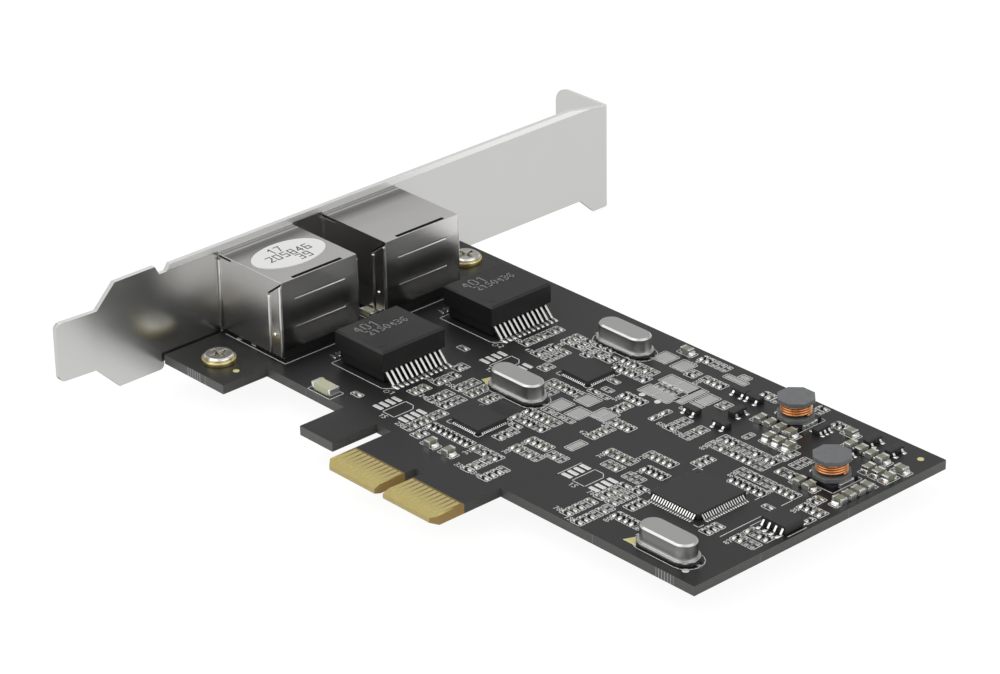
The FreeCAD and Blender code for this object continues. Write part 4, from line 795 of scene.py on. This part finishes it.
piece("small_chip_ends", stamped(pair(end_cap, END_OUT), row_chips[filled]), tin)
piece("small_chip_blocks", stamped(low_body, row_chips[filled & ~brown]), glaze)
piece("small_capacitor_blocks", stamped(tall_body, row_chips[filled & brown]), ceramic)

# %% Large ceramics
skirt_levels = [(1, 1, 0), (0.92, 0.95, 0.05), (0.7, 0.92, 0.2), (0.5, 0.9, 0.55)]
skirts = pair(raised(rounded_loop(0.9, 1.4, 0.2), skirt_levels), 0.95)
large_ends = pair(block(0.42, 1.27, 0.02, 1.02, 0.06, 0.06), 0.8)
large_body = block(1.2, 1.22, 0.03, 0.98, 0.05, 0.03)
piece("ceramic_solder", stamped(skirts, all_ceramics), solder, smooth=True)
piece("large_ceramic_blocks", stamped(large_body, row_ceramics), ceramic)
piece("large_ceramic_ends", stamped(large_ends, row_ceramics), tin)

# %% [markdown]
# ## Large tinned pads and empty footprints
# The unused places of a board are as telling as the used ones. Wide pads wait for parts
# that this card does without, and three empty eight-lead footprints show two rows of
# four pads. Each is a low cushion of tin, wider at its foot than at its top.

# %% Wide pads
# low x, high x, low y, high y
WIDE_PADS = [
    (55.8, 58.6, 76.1, 79.0), (60.0, 62.6, 76.1, 79.0), (62.2, 65.0, 71.4, 73.9), (65.4, 68.4, 71.4, 73.9),
    (62.2, 65.0, 66.7, 69.1), (65.4, 68.4, 66.7, 69.1), (56.0, 58.6, 53.0, 55.9), (60.0, 62.7, 53.0, 55.9),
    (57.7, 60.6, 57.2, 59.9), (62.9, 64.3, 55.3, 58.4), (64.7, 66.1, 55.3, 58.4), (68.9, 70.2, 68.2, 73.8),
    (71.1, 73.2, 67.0, 69.9), (71.1, 73.2, 70.6, 73.5), (96.6, 101.0, 32.5, 33.4), (68.4, 72.6, 79.5, 80.4),
    (70.2, 71.8, 81.0, 82.0), (68.0, 69.3, 45.4, 48.4),
]
WIDE_CORNER = 0.12
WIDE_LEVELS = [(1, 1, 0), (0.98, 0.98, 0.035), (0.93, 0.93, 0.05)]


def wide_pad(x0, x1, y0, y1):
    """A low tinned pad that fills a rectangle measured from the bracket."""
    middle = np.array([x0 + x1, y0 + y1]) / 2 + SHIFT
    return moved(raised(rounded_loop(x1 - x0, y1 - y0, WIDE_CORNER), WIDE_LEVELS), *middle)


wide_tin = finish("wide_tin", (0.62, 0.62, 0.61), 1.0, grain=3000, clouds=600, tint=0.1, roughness=0.42,
                  change=0.12, relief=0.1)
piece("wide_pads", joined([wide_pad(*pad) for pad in WIDE_PADS]), wide_tin)

# %% Empty eight-lead footprints and round pads
OUTLINES = [(41.0, 35.45), (41.0, 57.95), (77.5, 41.25)]
OUTLINE_PITCH = 1.27
OUTLINE_HALF_X = 2.95
ROUND_PADS = [(63.7, 65.9), (67.1, 65.9), (106.8, 32.0), (4.4, 33.1)]
outline_pad = raised(rounded_loop(2.0, 0.74, 0.1), [(1, 1, 0), (0.98, 0.95, 0.04), (0.94, 0.88, 0.06)])
outline_spots = [
    (x + side * OUTLINE_HALF_X, y + (k - 1.5) * OUTLINE_PITCH)
    for x, y in OUTLINES for side in (-1, 1) for k in range(4)
]
dot = raised(round_loop(0.55, 14), [(1, 1, 0), (0.97, 0.97, 0.04), (0.75, 0.75, 0.07)])
fresh_tin = finish("fresh_tin", (0.88, 0.88, 0.87), 1.0, grain=3000, clouds=600, tint=0.06, roughness=0.55,
                   change=0.1, relief=0.05)
outline_pads = [stamped(shape, unturned(np.array(spots) + SHIFT))
                for shape, spots in ((outline_pad, outline_spots), (dot, ROUND_PADS))]
piece("outline_pads", joined(outline_pads), fresh_tin)

# %% Bare gold pads
GOLD_ROUND_PADS = [(108.0, 81.1), (24.5, 33.4), (12.9, 25.5)]
# corners of bare gold wedges beside two of the crystals
GOLD_WEDGES = [[(94.1, 31.9), (97.4, 31.9), (95.3, 34.6)], [(42.3, 51.4), (45.5, 50.5), (45.0, 53.8), (42.9, 53.6)]]
GOLD_LEVELS = [(1, 1, 0), (0.98, 0.98, 0.035), (0.95, 0.95, 0.05)]
gold_dots = stamped(dot, unturned(np.array(GOLD_ROUND_PADS) + SHIFT))
wedges = [centred(np.array(corners) + SHIFT, GOLD_LEVELS) for corners in GOLD_WEDGES]
piece("bare_gold_pads", joined([gold_dots, *wedges]), bare_gold)

# %% [markdown]
# ## Solder under every lead
# Each lead ends in a foot on its own pad. The feet are found from the solids: the end of
# a lead's box that is farther from the body is the toe. A pad with a small ramp of
# solder goes under it, and it runs out a little past the toe.


# %% Pads under leads
def toe_places(lead_node, body_node, tuck):
    """Each lead's toe as x, y and turn: the lead's long side gives its axis,
    the nearest body's middle says which end is the toe, and the pad is tucked in by a little."""
    leads = islands(lead_node)
    bodies = islands(body_node).mean(1)[:, :2]
    middle = leads.mean(1)[:, :2]
    half = (leads[:, 1] - leads[:, 0])[:, :2] / 2
    nearest = bodies[np.linalg.norm(middle[:, None] - bodies[None], axis=2).argmin(1)]
    away = middle - nearest
    along_x = half[:, 0] > half[:, 1]
    direction = np.where(along_x[:, None], [1.0, 0.0], [0.0, 1.0]) * np.sign(away)
    toe = middle + direction * half
    turn = np.degrees(np.arctan2(direction[:, 1], direction[:, 0]))
    return np.column_stack([toe - direction * tuck, turn])


def toe_solder(long, wide, climb):
    """A pad with a ramp of solder: wide at the board, and narrowing as it climbs towards the lead."""
    return raised(rounded_loop(long, wide, min(long, wide) * 0.25),
                  [(1, 1, 0), (0.96, 0.92, climb * 0.25), (0.8, 0.75, climb * 0.6), (0.55, 0.5, climb)])


TOES = {
    "bridge_chip_leads": ("bridge_chip_body", 0.25, 1.1, 0.27, 0.10),
    "memory_chip_leads": ("memory_chip_body", 0.3, 1.6, 0.7, 0.2),
    "transformer_1_leads": ("transformer_1_body", 0.35, 1.7, 0.62, 0.24),
    "transformer_2_leads": ("transformer_2_body", 0.35, 1.7, 0.62, 0.24),
    "transistor_leads": ("transistor_bodies", 0.1, 0.9, 0.75, 0.16),
    "regulator_leads": ("regulator_bodies", 0.1, 0.9, 0.55, 0.14),
}
for lead_node, (body_node, tuck, long, wide, climb) in TOES.items():
    places = toe_places(lead_node, body_node, tuck)
    piece(lead_node.replace("leads", "solder"), stamped(toe_solder(long, wide, climb), places), solder, True)

# %% [markdown]
# ## Leadless controller chips
# The two controller chips have no leads. Their pads come up level with the moulding's foot,
# so a row of small bright solder toes runs along each side.

# %% Leadless toes
TOE_COUNT = 13
TOE_PITCH = 0.4
TOE_OUT = 0.12
STRIP_OUT = 0.42


def side_places(node_name, count, pitch, out):
    """Places along all four sides of a square chip, each turned to face outwards."""
    low, high = box_of(node_name)
    along = (np.arange(count) - (count - 1) / 2) * pitch
    spots = np.column_stack([np.full(count, (high[0] - low[0]) / 2 + out), along])
    middle = (low + high)[:2] / 2
    sides = np.array([(*middle, turn) for turn in (0, 90, 180, 270)])
    return np.column_stack([spun(spots, sides).reshape(-1, 2), np.repeat(sides[:, 2], count)])


def round_controllers(shape, *spacing):
    """One shape stamped round both controller chips."""
    return stamped(shape, np.concatenate([side_places(f"controller_chip_{k}", *spacing) for k in (1, 2)]))


toe = raised(rounded_loop(0.5, 0.24, 0.06), [(1, 1, 0), (0.9, 0.9, 0.06), (0.5, 0.7, 0.2)])
strip = raised(rounded_loop(0.24, 5.3, 0.1), [(1, 1, 0), (0.9, 0.99, 0.05), (0.6, 0.97, 0.09)])
piece("controller_chip_solder", round_controllers(toe, TOE_COUNT, TOE_PITCH, TOE_OUT), solder, True)
piece("controller_chip_strips", round_controllers(strip, 1, 0, STRIP_OUT), solder, True)

# %% [markdown]
# ## White print
# All the print is thin raised ink, drawn as straight strokes: frames round small parts,
# outlines of the larger ones, and plain numbers. Each stroke is a flat box
# from one end point to the other, and all strokes are worked out in one go.

# %% Strokes
PRINT_WIDE = 0.13
PRINT_LOW = -0.005
PRINT_HIGH = 0.02
# the corners of a box by number, four below and four above, as its six outward faces
BOX_FACES = np.array([(3, 2, 1, 0), (4, 5, 6, 7), (0, 1, 5, 4), (1, 2, 6, 5), (2, 3, 7, 6), (3, 0, 4, 7)])


def strokes(segments, width, low, high):
    """A flat box along each segment (x0, y0, x1, y1), half a width longer at both ends:
    its corners are the ends shifted sideways by the segment's normal, at two heights."""
    segments = np.asarray(segments, float)
    start, end = segments[:, :2], segments[:, 2:]
    along = end - start
    length = np.linalg.norm(along, axis=1, keepdims=True)
    along = along / np.maximum(length, 1e-6) * width / 2
    side = np.column_stack([-along[:, 1], along[:, 0]])
    ring = np.stack([start - along - side, end + along - side, end + along + side, start - along + side], 1)
    levels = [np.concatenate([ring, np.full((*ring.shape[:2], 1), level)], 2) for level in (low, high)]
    shift = np.arange(len(segments))[:, None, None] * 8
    return np.concatenate(levels, 1).reshape(-1, 3), [(BOX_FACES + shift).reshape(-1, 4)]


def path_segments(points, closed=False):
    """The segments that join a list of points in order."""
    points = np.asarray(points, float)
    after = np.roll(points, -1, 0) if closed else points[1:]
    return np.concatenate([points[:len(after)], after], 1)


def frame_segments(places, long, wide):
    """Four segments round each place: a rectangle's corners turned by the place's angle."""
    corners = np.array([(-1, -1), (1, -1), (1, 1), (-1, 1)]) * [long / 2, wide / 2]
    points = spun(corners, places)
    return np.concatenate([points, np.roll(points, -1, 1)], 2).reshape(-1, 4)


def box_segments(low, high, margin):
    """Four segments round a box, a margin outside it."""
    (left, bottom), (right, top) = low[:2] - margin, high[:2] + margin
    return path_segments([(left, bottom), (right, bottom), (right, top), (left, top)], closed=True)


# %% Plain numbers
DIGITS = {
    "0": [[(0, 0), (1, 0), (1, 2), (0, 2), (0, 0)]], "1": [[(0.1, 1.5), (0.6, 2), (0.6, 0)]],
    "2": [[(0, 2), (1, 2), (1, 1.2), (0, 0), (1, 0)]], "3": [[(0, 2), (1, 2), (1, 0), (0, 0)], [(0.3, 1), (1, 1)]],
    "4": [[(0.8, 0), (0.8, 2), (0, 0.7), (1, 0.7)]], "5": [[(1, 2), (0, 2), (0, 1.1), (1, 1.1), (1, 0), (0, 0)]],
    "6": [[(1, 2), (0, 2), (0, 0), (1, 0), (1, 1), (0, 1)]], "7": [[(0, 2), (1, 2), (0.3, 0)]],
    "8": [[(0, 0), (1, 0), (1, 2), (0, 2), (0, 0)], [(0, 1), (1, 1)]],
    "9": [[(1, 1), (0, 1), (0, 2), (1, 2), (1, 0), (0, 0)]],
}


def number_segments(number, x, y, high, turn=0.0):
    """A number's strokes, each digit half as wide as it is high, centred on a point and turned."""
    unit = high / 2
    step = unit * 1.7
    text = str(number)
    made = [
        path_segments(np.array(line) * unit + [k * step, 0]) for k, digit in enumerate(text) for line in DIGITS[digit]
    ]
    made = np.concatenate(made).reshape(-1, 2) - [(step * len(text) - 0.7 * unit) / 2, unit]
    angle = math.radians(turn)
    spin = np.array([[math.cos(angle), math.sin(angle)], [-math.sin(angle), math.cos(angle)]])
    return (made @ spin + [x, y]).reshape(-1, 4)


# %% Print round the small parts
CHIP_FRAME = (2.15, 1.16)
CERAMIC_FRAME = (3.3, 1.75)
PAD_MARGIN = 0.25
printed = [frame_segments(np.concatenate([row_chips, solid_chips]), *CHIP_FRAME),
           frame_segments(all_ceramics, *CERAMIC_FRAME)]
for x0, x1, y0, y1 in WIDE_PADS:
    printed.append(box_segments(np.array([x0, y0]) + SHIFT, np.array([x1, y1]) + SHIFT, PAD_MARGIN))
print(f"{sum(map(len, printed))} strokes round the small parts")

# %% Print on the empty footprints and beside the rows
OUTLINE_NUMBER = 15
FIRST_ROW_NUMBER = 21
HALF_X, HALF_Y, DOG_EAR = 1.35, 2.4, 0.9
LONG_ROW = 4
dog_eared = np.array([(-HALF_X, -HALF_Y), (HALF_X, -HALF_Y), (HALF_X, HALF_Y - DOG_EAR), (HALF_X - DOG_EAR, HALF_Y),
                      (-HALF_X, HALF_Y)])
for place in np.array(OUTLINES) + SHIFT:
    printed.append(path_segments(dog_eared + place, closed=True))
    printed.append(number_segments(OUTLINE_NUMBER, *(place + [-0.2, -3.3]), 0.9))
for number, (x, y, step_x, step_y, _, copies) in enumerate(FOOTPRINT_ROWS, FIRST_ROW_NUMBER):
    if copies >= LONG_ROW:
        before = (-1.9, 0) if step_y else (0, -1.9)
        printed.append(number_segments(number, *(SHIFT + [x, y] + before), 0.85, 90 if step_x else 0))
print(f"{sum(map(len, printed))} strokes with the numbers")

# %% Print round the transformers and the jacks
for k in (1, 2):
    low, high = box_of(f"transformer_{k}_body")
    left, right, bottom, top = low[0] - 0.2, high[0] + 0.2, low[1] - 0.75, high[1] + 0.6
    printed.append(path_segments([(left, top), (left, bottom), (right + 0.3, bottom), (right + 2.1, bottom + 1.7)]))
    printed.append(number_segments(k, right + 2.6, bottom + 0.2, 0.9))
    printed.append(path_segments(round_loop(0.45, 12) + [right + 1.5, bottom - 0.1], closed=True))
for k in (1, 2):
    low, high = box_of(f"jack_{k}_shell")
    rear = high[0] + 0.55
    printed.append(path_segments([(low[0] + 3, low[1] - 0.3), (rear, low[1] - 0.3), (rear, high[1] + 0.3)]))

# %% Print round the crystals
# each crystal has a long oval: two half circles joined by straight sides
OVAL_SIDE = 0.25
OVAL_END = 0.6
half_turn = np.linspace(-np.pi / 2, np.pi / 2, 9)
half_circle = np.stack([np.cos(half_turn), np.sin(half_turn)], 1)
for low, high in islands("crystal_bases"):
    radius = (high[1] - low[1]) / 2 + OVAL_SIDE
    middle = (low[1] + high[1]) / 2
    right_end = half_circle * radius + [high[0] - radius + OVAL_END, middle]
    left_end = -half_circle * radius + [low[0] + radius - OVAL_END, middle]
    printed.append(path_segments(np.concatenate([right_end, left_end]), closed=True))

# %% Print at the corners of the large chips
TICK = 1.0
for name, margin in (("bridge_chip_leads", 0.45), ("controller_chip_1", 0.65), ("controller_chip_2", 0.65)):
    low, high = box_of(name)[:, :2] + [[-margin], [margin]]
    for step_x, x in ((TICK, low[0]), (-TICK, high[0])):
        for step_y, y in ((TICK, low[1]), (-TICK, high[1])):
            printed.append([(x, y, x + step_x, y), (x, y, x, y + step_y)])
    printed.append(path_segments(round_loop(0.3, 10) + [low[0] - 0.2, high[1] + 0.2], closed=True))
print(f"{sum(map(len, printed))} strokes with the large parts")

# %% Last lines, and the print as one piece
# x, low y and high y of three upright lines, measured from the bracket
UPRIGHT_LINES = ((103.4, 42.6, 51.8), (103.3, 55.6, 58.2), (73.2, 38.8, 43.6))
INDUCTOR_FRAME = 3.25
printed.append([(*(SHIFT + [x, y0]), *(SHIFT + [x, y1])) for x, y0, y1 in UPRIGHT_LINES])
low, high = box_of("memory_chip_body")
left, right = low[0] - 0.6, high[0] + 0.5
printed.append([(left, low[1] - 1.6, left, high[1] + 1.6), (right, low[1], right, high[1])])
for name, margin in (("pale_capacitor_ends", 0.45), ("jack_capacitor_ends", 0.35)):
    printed.append(box_segments(*box_of(name), margin))
for middle in islands("inductor_bases").mean(1):
    printed.append(box_segments(middle, middle, INDUCTOR_FRAME))
piece("white_print", strokes(np.concatenate(printed), PRINT_WIDE, PRINT_LOW, PRINT_HIGH), silk)

# %% [markdown]
# ## Plain numbers on the parts
# The sticker and the transformers carry a few plain numbers in ink. They use the strokes of
# the white print, thinner and flatter, and each line of them reads towards the flange.

# %% Figures on the parts
# the figures, their shift across the lines, their shift along them, and their height
STICKER_LINES = [("17", -2.3, -0.9, 1.75), ("205846", 0.0, 0.0, 1.75), ("39", 2.3, 1.4, 1.75)]
TRANSFORMER_LINES = [("401", -3.1, -2.4, 2.0), ("2150436", -0.9, 0.2, 1.4)]


def figures(node_name, lines, width):
    """Lines of figures on a node's top, shifted from its middle along X and along Y."""
    low, high = box_of(node_name)
    x, y, _ = (low + high) / 2
    made = [number_segments(number, x + across, y + along, tall, 90) for number, across, along, tall in lines]
    return strokes(np.concatenate(made), width, high[2] - 0.005, high[2] + 0.015)


piece("sticker_figures", figures("oval_sticker", STICKER_LINES, 0.2), ink)
for k in (1, 2):
    figured = figures(f"transformer_{k}_body", TRANSFORMER_LINES, 0.24)
    piece(f"transformer_{k}_figures", figured, grey_ink)

# %% [markdown]
# ## Folds of the jack shells
# Each shell is folded from one sheet. Beside its rear corner a flap laps over the side
# wall, with a slanted gap above it, and a long gap runs along the roof's rear
# edge. Flat black pieces fill the gaps as painted shadow, since nothing behind them catches light.

# %% Shapes for a jack's sides
FLAP_LONG = 3.35
FLAP_FOOT = 0.75
FLAP_PROUD = 0.16
SLANT_FALL = 2.5
GAP_WIDE = 0.42
RIDGE_RADIUS = 0.3
RIDGE_FOOT = 0.8
BUMP_HIGH = 4.4
BUMP_LEVELS = [(0.4, 0.4, BUMP_HIGH - 0.3), (1, 1, BUMP_HIGH - 0.15), (1, 1, BUMP_HIGH + 0.15),
               (0.4, 0.4, BUMP_HIGH + 0.3)]
WALL_OUT = 0.25
# a black piece of painted shadow stands this far proud of the sheet that it is in, so that it covers it
GAP_PROUD = 0.012


def on_side(shape, x, y, side):
    """Stands a flat shape up against a jack's side wall: its x runs to the rear, its y becomes height."""
    points, parts = shape
    upright = np.column_stack([points[:, 0] + x, y + side * points[:, 2], points[:, 1]])
    return upright, [part[:, ::-1] if side > 0 else part for part in parts]


def rod(foot, top):
    """A thin upright rod, for the rounded folds of the sheet."""
    return raised(round_loop(RIDGE_RADIUS, 12), [(1, 1, foot), (1, 1, top)])


bump = raised(round_loop(0.36, 10), BUMP_LEVELS)

# %% Flaps and painted gap shadows
ROOF_GAP_WIDE = 0.66
ROOF_GAP_LONG = 10.2
ROOF_GAP_IN = 0.27
LIP_DEEP = 0.12
LIP_HIGH = 0.2
plate = PLATE_FACE / MM
flaps, gaps, lips = [], [], []
for k in (1, 2):
    rear, _, roof = box_of(f"jack_{k}_shell")[1]
    flap_top = roof - 0.5
    slant_low = flap_top - SLANT_FALL
    flap = centred([(-FLAP_LONG, FLAP_FOOT), (-0.1, FLAP_FOOT), (-0.1, flap_top), (-FLAP_LONG, slant_low)],
                   [(1, 1, -0.02), (1, 1, FLAP_PROUD - 0.07), (0.95, 0.985, FLAP_PROUD)])
    slit = centred([(-FLAP_LONG, slant_low), (-0.06, flap_top), (-0.06, flap_top + GAP_WIDE),
                    (-FLAP_LONG, slant_low + GAP_WIDE)], [(1, 1, -0.02), (1, 1, GAP_PROUD)])
    ridge, fold = rod(RIDGE_FOOT, slant_low - 0.15), rod(RIDGE_FOOT, roof - 1.0)
    walls = islands(f"jack_{k}_housing")
    near_wall, far_wall = walls[:, 0, 1].min() - WALL_OUT, walls[:, 1, 1].max() + WALL_OUT
    for side, wall in ((-1, near_wall), (1, far_wall)):
        flaps.append(on_side(flap, rear, wall, side))
        flaps.append(moved(ridge, rear - FLAP_LONG + RIDGE_RADIUS, wall + side * FLAP_PROUD * 0.6))
        flaps.append(moved(fold, rear - RIDGE_RADIUS, wall + side * FLAP_PROUD * 0.4))
        flaps.append(moved(fold, plate + RIDGE_RADIUS, wall))
        flaps.append(moved(bump, rear - FLAP_LONG * 0.55, wall + side * FLAP_PROUD * 0.5))
        gaps.append(on_side(slit, rear, wall, side))
    middle_y = (near_wall + far_wall) / 2
    roof_gap = raised(rounded_loop(ROOF_GAP_WIDE, ROOF_GAP_LONG, 0.05), [(1, 1, roof - 0.1), (1, 1, roof + GAP_PROUD)])
    gaps.append(moved(roof_gap, rear - ROOF_GAP_IN - ROOF_GAP_WIDE / 2, middle_y))
    lip = raised(rounded_loop(LIP_DEEP, far_wall - near_wall, 0.04), [(1, 1, roof - 0.1), (1, 1, roof + LIP_HIGH)])
    lips.append(moved(lip, plate + LIP_DEEP / 2, middle_y))
piece("shell_flaps", joined(flaps), shield)
piece("painted_gap_shadows", joined(gaps), painted_shadow_black)
piece("opening_lips", joined(lips), steel)

# %% [markdown]
# ## Solder side
# The jacks' contacts and shell legs and the crystals' leads go through the board. On the
# far side each ends in a cone of solder, which is all that such a card shows there,
# with a scatter of small tinned holes between its layers.

# %% Joints under the board
LEG_IN = 8.2
LEG_OUT = 0.12
CONTACT_IN = 0.15


def underneath(shape, spots):
    """Copies of a shape at points of the board's far side, hanging upside down."""
    points, parts = stamped(shape, unturned(spots))
    return points * [1, 1, -1] + [0, 0, board_low.z / MM], [part[:, ::-1] for part in parts]


tails = []
for k in (1, 2):
    wires = islands(f"jack_{k}_contacts")
    tails.append(np.column_stack([wires[:, 1, 0] - CONTACT_IN, wires[:, :, 1].mean(1)]))
    near_side, far_side = islands(f"jack_{k}_housing")[0, :, 1]
    tails.append([(plate + LEG_IN, near_side - LEG_OUT), (plate + LEG_IN, far_side + LEG_OUT)])
tails.append(islands("crystal_leads").mean(1)[:, :2])
cone = raised(round_loop(0.72, 14), [(1, 1, 0), (0.9, 0.9, 0.1), (0.55, 0.55, 0.35), (0.35, 0.35, 0.65)])
piece("through_joints", underneath(cone, np.concatenate(tails)), solder, True)

# %% Small holes between the layers
VIA_COUNT = 90
spread = np.random.default_rng(5)
via_x = spread.uniform(-30, 48, VIA_COUNT)
via_y = spread.uniform(16, 66, VIA_COUNT)
via = raised(round_loop(0.28, 8), [(1, 1, 0), (0.8, 0.8, 0.03)])
piece("underside_vias", underneath(via, np.column_stack([via_x, via_y])), solder)

# %% [markdown]
# ## Inductor windings
# Enamelled wire is wound round each drum in even turns. The wire's path is a helix, and its
# round section is carried along the path as a tube: one parameter runs
# along the turns and the other round the wire.

# %% Wound wire
WIRE_RADIUS = 0.22
TURNS = 4
STEPS_A_TURN = 40
# how far each layer of wire lies inside the outermost one
LAYERS_IN = (0.0, 0.36)


def helix_tube(x, y, radius, low, high):
    """A tube along a helix: the centre goes round at a fixed radius and climbs evenly,
    and each ring of the tube lies in the plane of the axis and the outward direction."""
    turn = np.linspace(0, TURNS * 2 * np.pi, TURNS * STEPS_A_TURN + 1)[:, None]
    section = round_loop(WIRE_RADIUS, 8)
    reach = radius + section[:, 0]
    height = low + (high - low) * turn / turn[-1] + section[:, 1]
    points = np.stack([x + reach * np.cos(turn), y + reach * np.sin(turn), height], -1)
    return loft(points[:, ::-1])


coils = []
for low, high in islands("inductor_windings"):
    x, y, _ = (low + high) / 2
    radius = (high[0] - low[0]) / 2 - WIRE_RADIUS
    for layer, inward in enumerate(LAYERS_IN, 1):
        rise = WIRE_RADIUS * layer
        coils.append(helix_tube(x, y, radius - inward, low[2] + rise, high[2] - rise))
piece("inductor_wire", joined(coils), copper, True, replaces=["inductor_windings"])

# %% Terminals of the inductors
TERMINAL_OUT = 3.02
terminal = raised(rounded_loop(0.42, 3.0, 0.08), [(1, 1, 0.02), (1, 1, 0.7), (0.8, 0.97, 0.8)])
drums = islands("inductor_bases").mean(1)[:, :2]
piece("inductor_side_terminals", stamped(pair(terminal, TERMINAL_OUT), unturned(drums)), tin)

# %% [markdown]
# ## The sky
# The world is a white sky with a darker belt half way up. Metal mirrors it, and its flat
# faces get their greys from the belt. Only mirrored rays and the camera's see that sky:
# the light that falls on the card comes from an even, dimmer white.

# %% Sky
SKY_LIGHT = 0.55
# height of a direction, from the horizon 0 to straight up 1, and how bright the sky is there
SKY_STEPS = [(0.0, 1.0), (0.25, 0.9), (0.42, 0.42), (0.55, 0.36), (0.72, 0.75), (1.0, 0.95)]


def seen_directly(tree, rays):
    """1 for the camera's own rays and for those that metal mirrors or clear plastic lets through, else 0."""
    seen = math_node(tree, "MAXIMUM", rays["Is Camera Ray"], rays["Is Glossy Ray"])
    return math_node(tree, "MAXIMUM", seen, rays["Is Transmission Ray"])


scene = bpy.context.scene
scene.world = bpy.data.worlds.new("studio")
scene.world.use_nodes = True
sky = scene.world.node_tree
even = sky.nodes["Background"]
even.inputs["Color"].default_value = (1, 1, 1, 1)
even.inputs["Strength"].default_value = SKY_LIGHT
height = parts_of(sky, "Generated")[2]
belted = add_node(sky, "Background", {"Color": grey_ramp(sky, height, SKY_STEPS), "Strength": 1.0})
sky_seen = seen_directly(sky, add_node(sky, "LightPath").outputs)
studio = mix_shaders(sky, sky_seen, even.outputs[0], belted.outputs[0])
feed(sky, sky.nodes["World Output"].inputs["Surface"], studio)
print(f"sky with {len(sky.nodes)} nodes")

# %% [markdown]
# ## The floor
# The card lies on pure white. For the camera the floor glows almost white and adds a
# little of the light that falls on it, so a faint shadow stays. In mirror reflections the
# floor's glow is dimmed under the card, a painted shadow, and it is white from a few millimetres
# outside it. From below it is clear, so that the card's far side can be looked at.

# %% Floor finish
# a painted shadow under the card in mirror reflections: how far out it fades, and how dark it is
SHADE_SOFT = 9 * MM
SHADE_DARK = 0.10
GLOW = 0.92
# the board proper starts this far above the tip of its contact tongue
TONGUE_TALL = 13.4 * MM


def distance_from_board(tree):
    """How far a point of the floor is from under the board: along each axis the part past the
    board's half size, and then the root of the sum of both squares."""
    place = parts_of(tree, "Object")
    squares = []
    for axis, low, high in ((0, board_low.x, board_high.x), (1, board_low.y + TONGUE_TALL, board_high.y)):
        off = math_node(tree, "ABSOLUTE", math_node(tree, "SUBTRACT", place[axis], (low + high) / 2))
        past = math_node(tree, "MAXIMUM", math_node(tree, "SUBTRACT", off, (high - low) / 2), 0.0)
        squares.append(math_node(tree, "POWER", past, 2.0))
    return math_node(tree, "POWER", math_node(tree, "ADD", *squares), 0.5)


def build_floor_finish():
    """Plain for the light it returns to the card, glowing where it is seen, with a painted shadow under the card in
    mirrored rays, and clear from below.
    """
    material = bpy.data.materials.new("floor_white")
    material.use_nodes = True
    tree = material.node_tree
    tree.nodes.remove(tree.nodes["Principled BSDF"])
    rays = add_node(tree, "LightPath").outputs
    # the glow is dimmed under the card into a painted shadow for mirrored rays
    shade = {"Value": distance_from_board(tree), "From Max": SHADE_SOFT, "To Min": SHADE_DARK}
    outside_painted_shadow = add_node(tree, "MapRange", shade).outputs[0]
    direct = math_node(tree, "MAXIMUM", rays["Is Camera Ray"], outside_painted_shadow)
    strength = math_node(tree, "MULTIPLY", direct, GLOW)
    glow = add_node(tree, "Emission", {"Color": (1, 1, 1, 1), "Strength": strength})
    plain = add_node(tree, "BsdfDiffuse", {"Color": (0.75, 0.75, 0.75, 1)})
    faint = add_node(tree, "BsdfDiffuse", {"Color": (0.14, 0.14, 0.14, 1)})
    glowing = add_node(tree, "AddShader", {0: faint.outputs[0], 1: glow.outputs[0]})
    shown = mix_shaders(tree, seen_directly(tree, rays), plain.outputs[0], glowing.outputs[0])
    clear = add_node(tree, "BsdfTransparent")
    from_below = add_node(tree, "NewGeometry").outputs["Backfacing"]
    one_sided = mix_shaders(tree, from_below, shown, clear.outputs[0])
    feed(tree, tree.nodes["Material Output"].inputs["Surface"], one_sided)
    return material


# %% Floor
FLOOR_DROP = 0.5 * MM
FLOOR_HALF = 1.6
floor_high = solid_bounds[0][2] - FLOOR_DROP
floor_corners = [(x * FLOOR_HALF, y * FLOOR_HALF, floor_high) for x, y in ((-1, -1), (1, -1), (1, 1), (-1, 1))]
floor_mesh = bpy.data.meshes.new("floor")
floor_mesh.from_pydata(floor_corners, [], [(0, 1, 2, 3)])
floor_mesh.materials.append(build_floor_finish())
floor = bpy.data.objects.new("floor", floor_mesh)
scene.collection.objects.link(floor)
print(f"floor at {floor_high / MM:.1f} mm")

# %% [markdown]
# ## Lamps
# Two large lamps above the card stand for a studio's soft boxes: a key lamp in front, on the
# bracket's side, and a weaker one behind the far end, which fills the shadows. Both are
# much larger than the card, so that its shadow stays soft.

# %% Soft lamps
LAMP_AIM = Vector((0, 0.03, 0))


def soft_lamp(name, place, size, watts):
    """A square area lamp aimed at the card."""
    data = bpy.data.lights.new(name, "AREA")
    data.size = size
    data.energy = watts
    lamp = bpy.data.objects.new(name, data)
    turned = (LAMP_AIM - Vector(place)).to_track_quat("-Z", "Y").to_matrix().to_4x4()
    lamp.matrix_world = Matrix.Translation(place) @ turned
    scene.collection.objects.link(lamp)
    print(f"{name}: {watts} W, {size} m wide")


soft_lamp("key_lamp", (-0.35, -0.55, 0.75), 1.1, 5.0)
soft_lamp("fill_lamp", (0.7, 0.2, 0.6), 1.0, 2.5)

# %% Update the scene
bpy.context.view_layer.update()
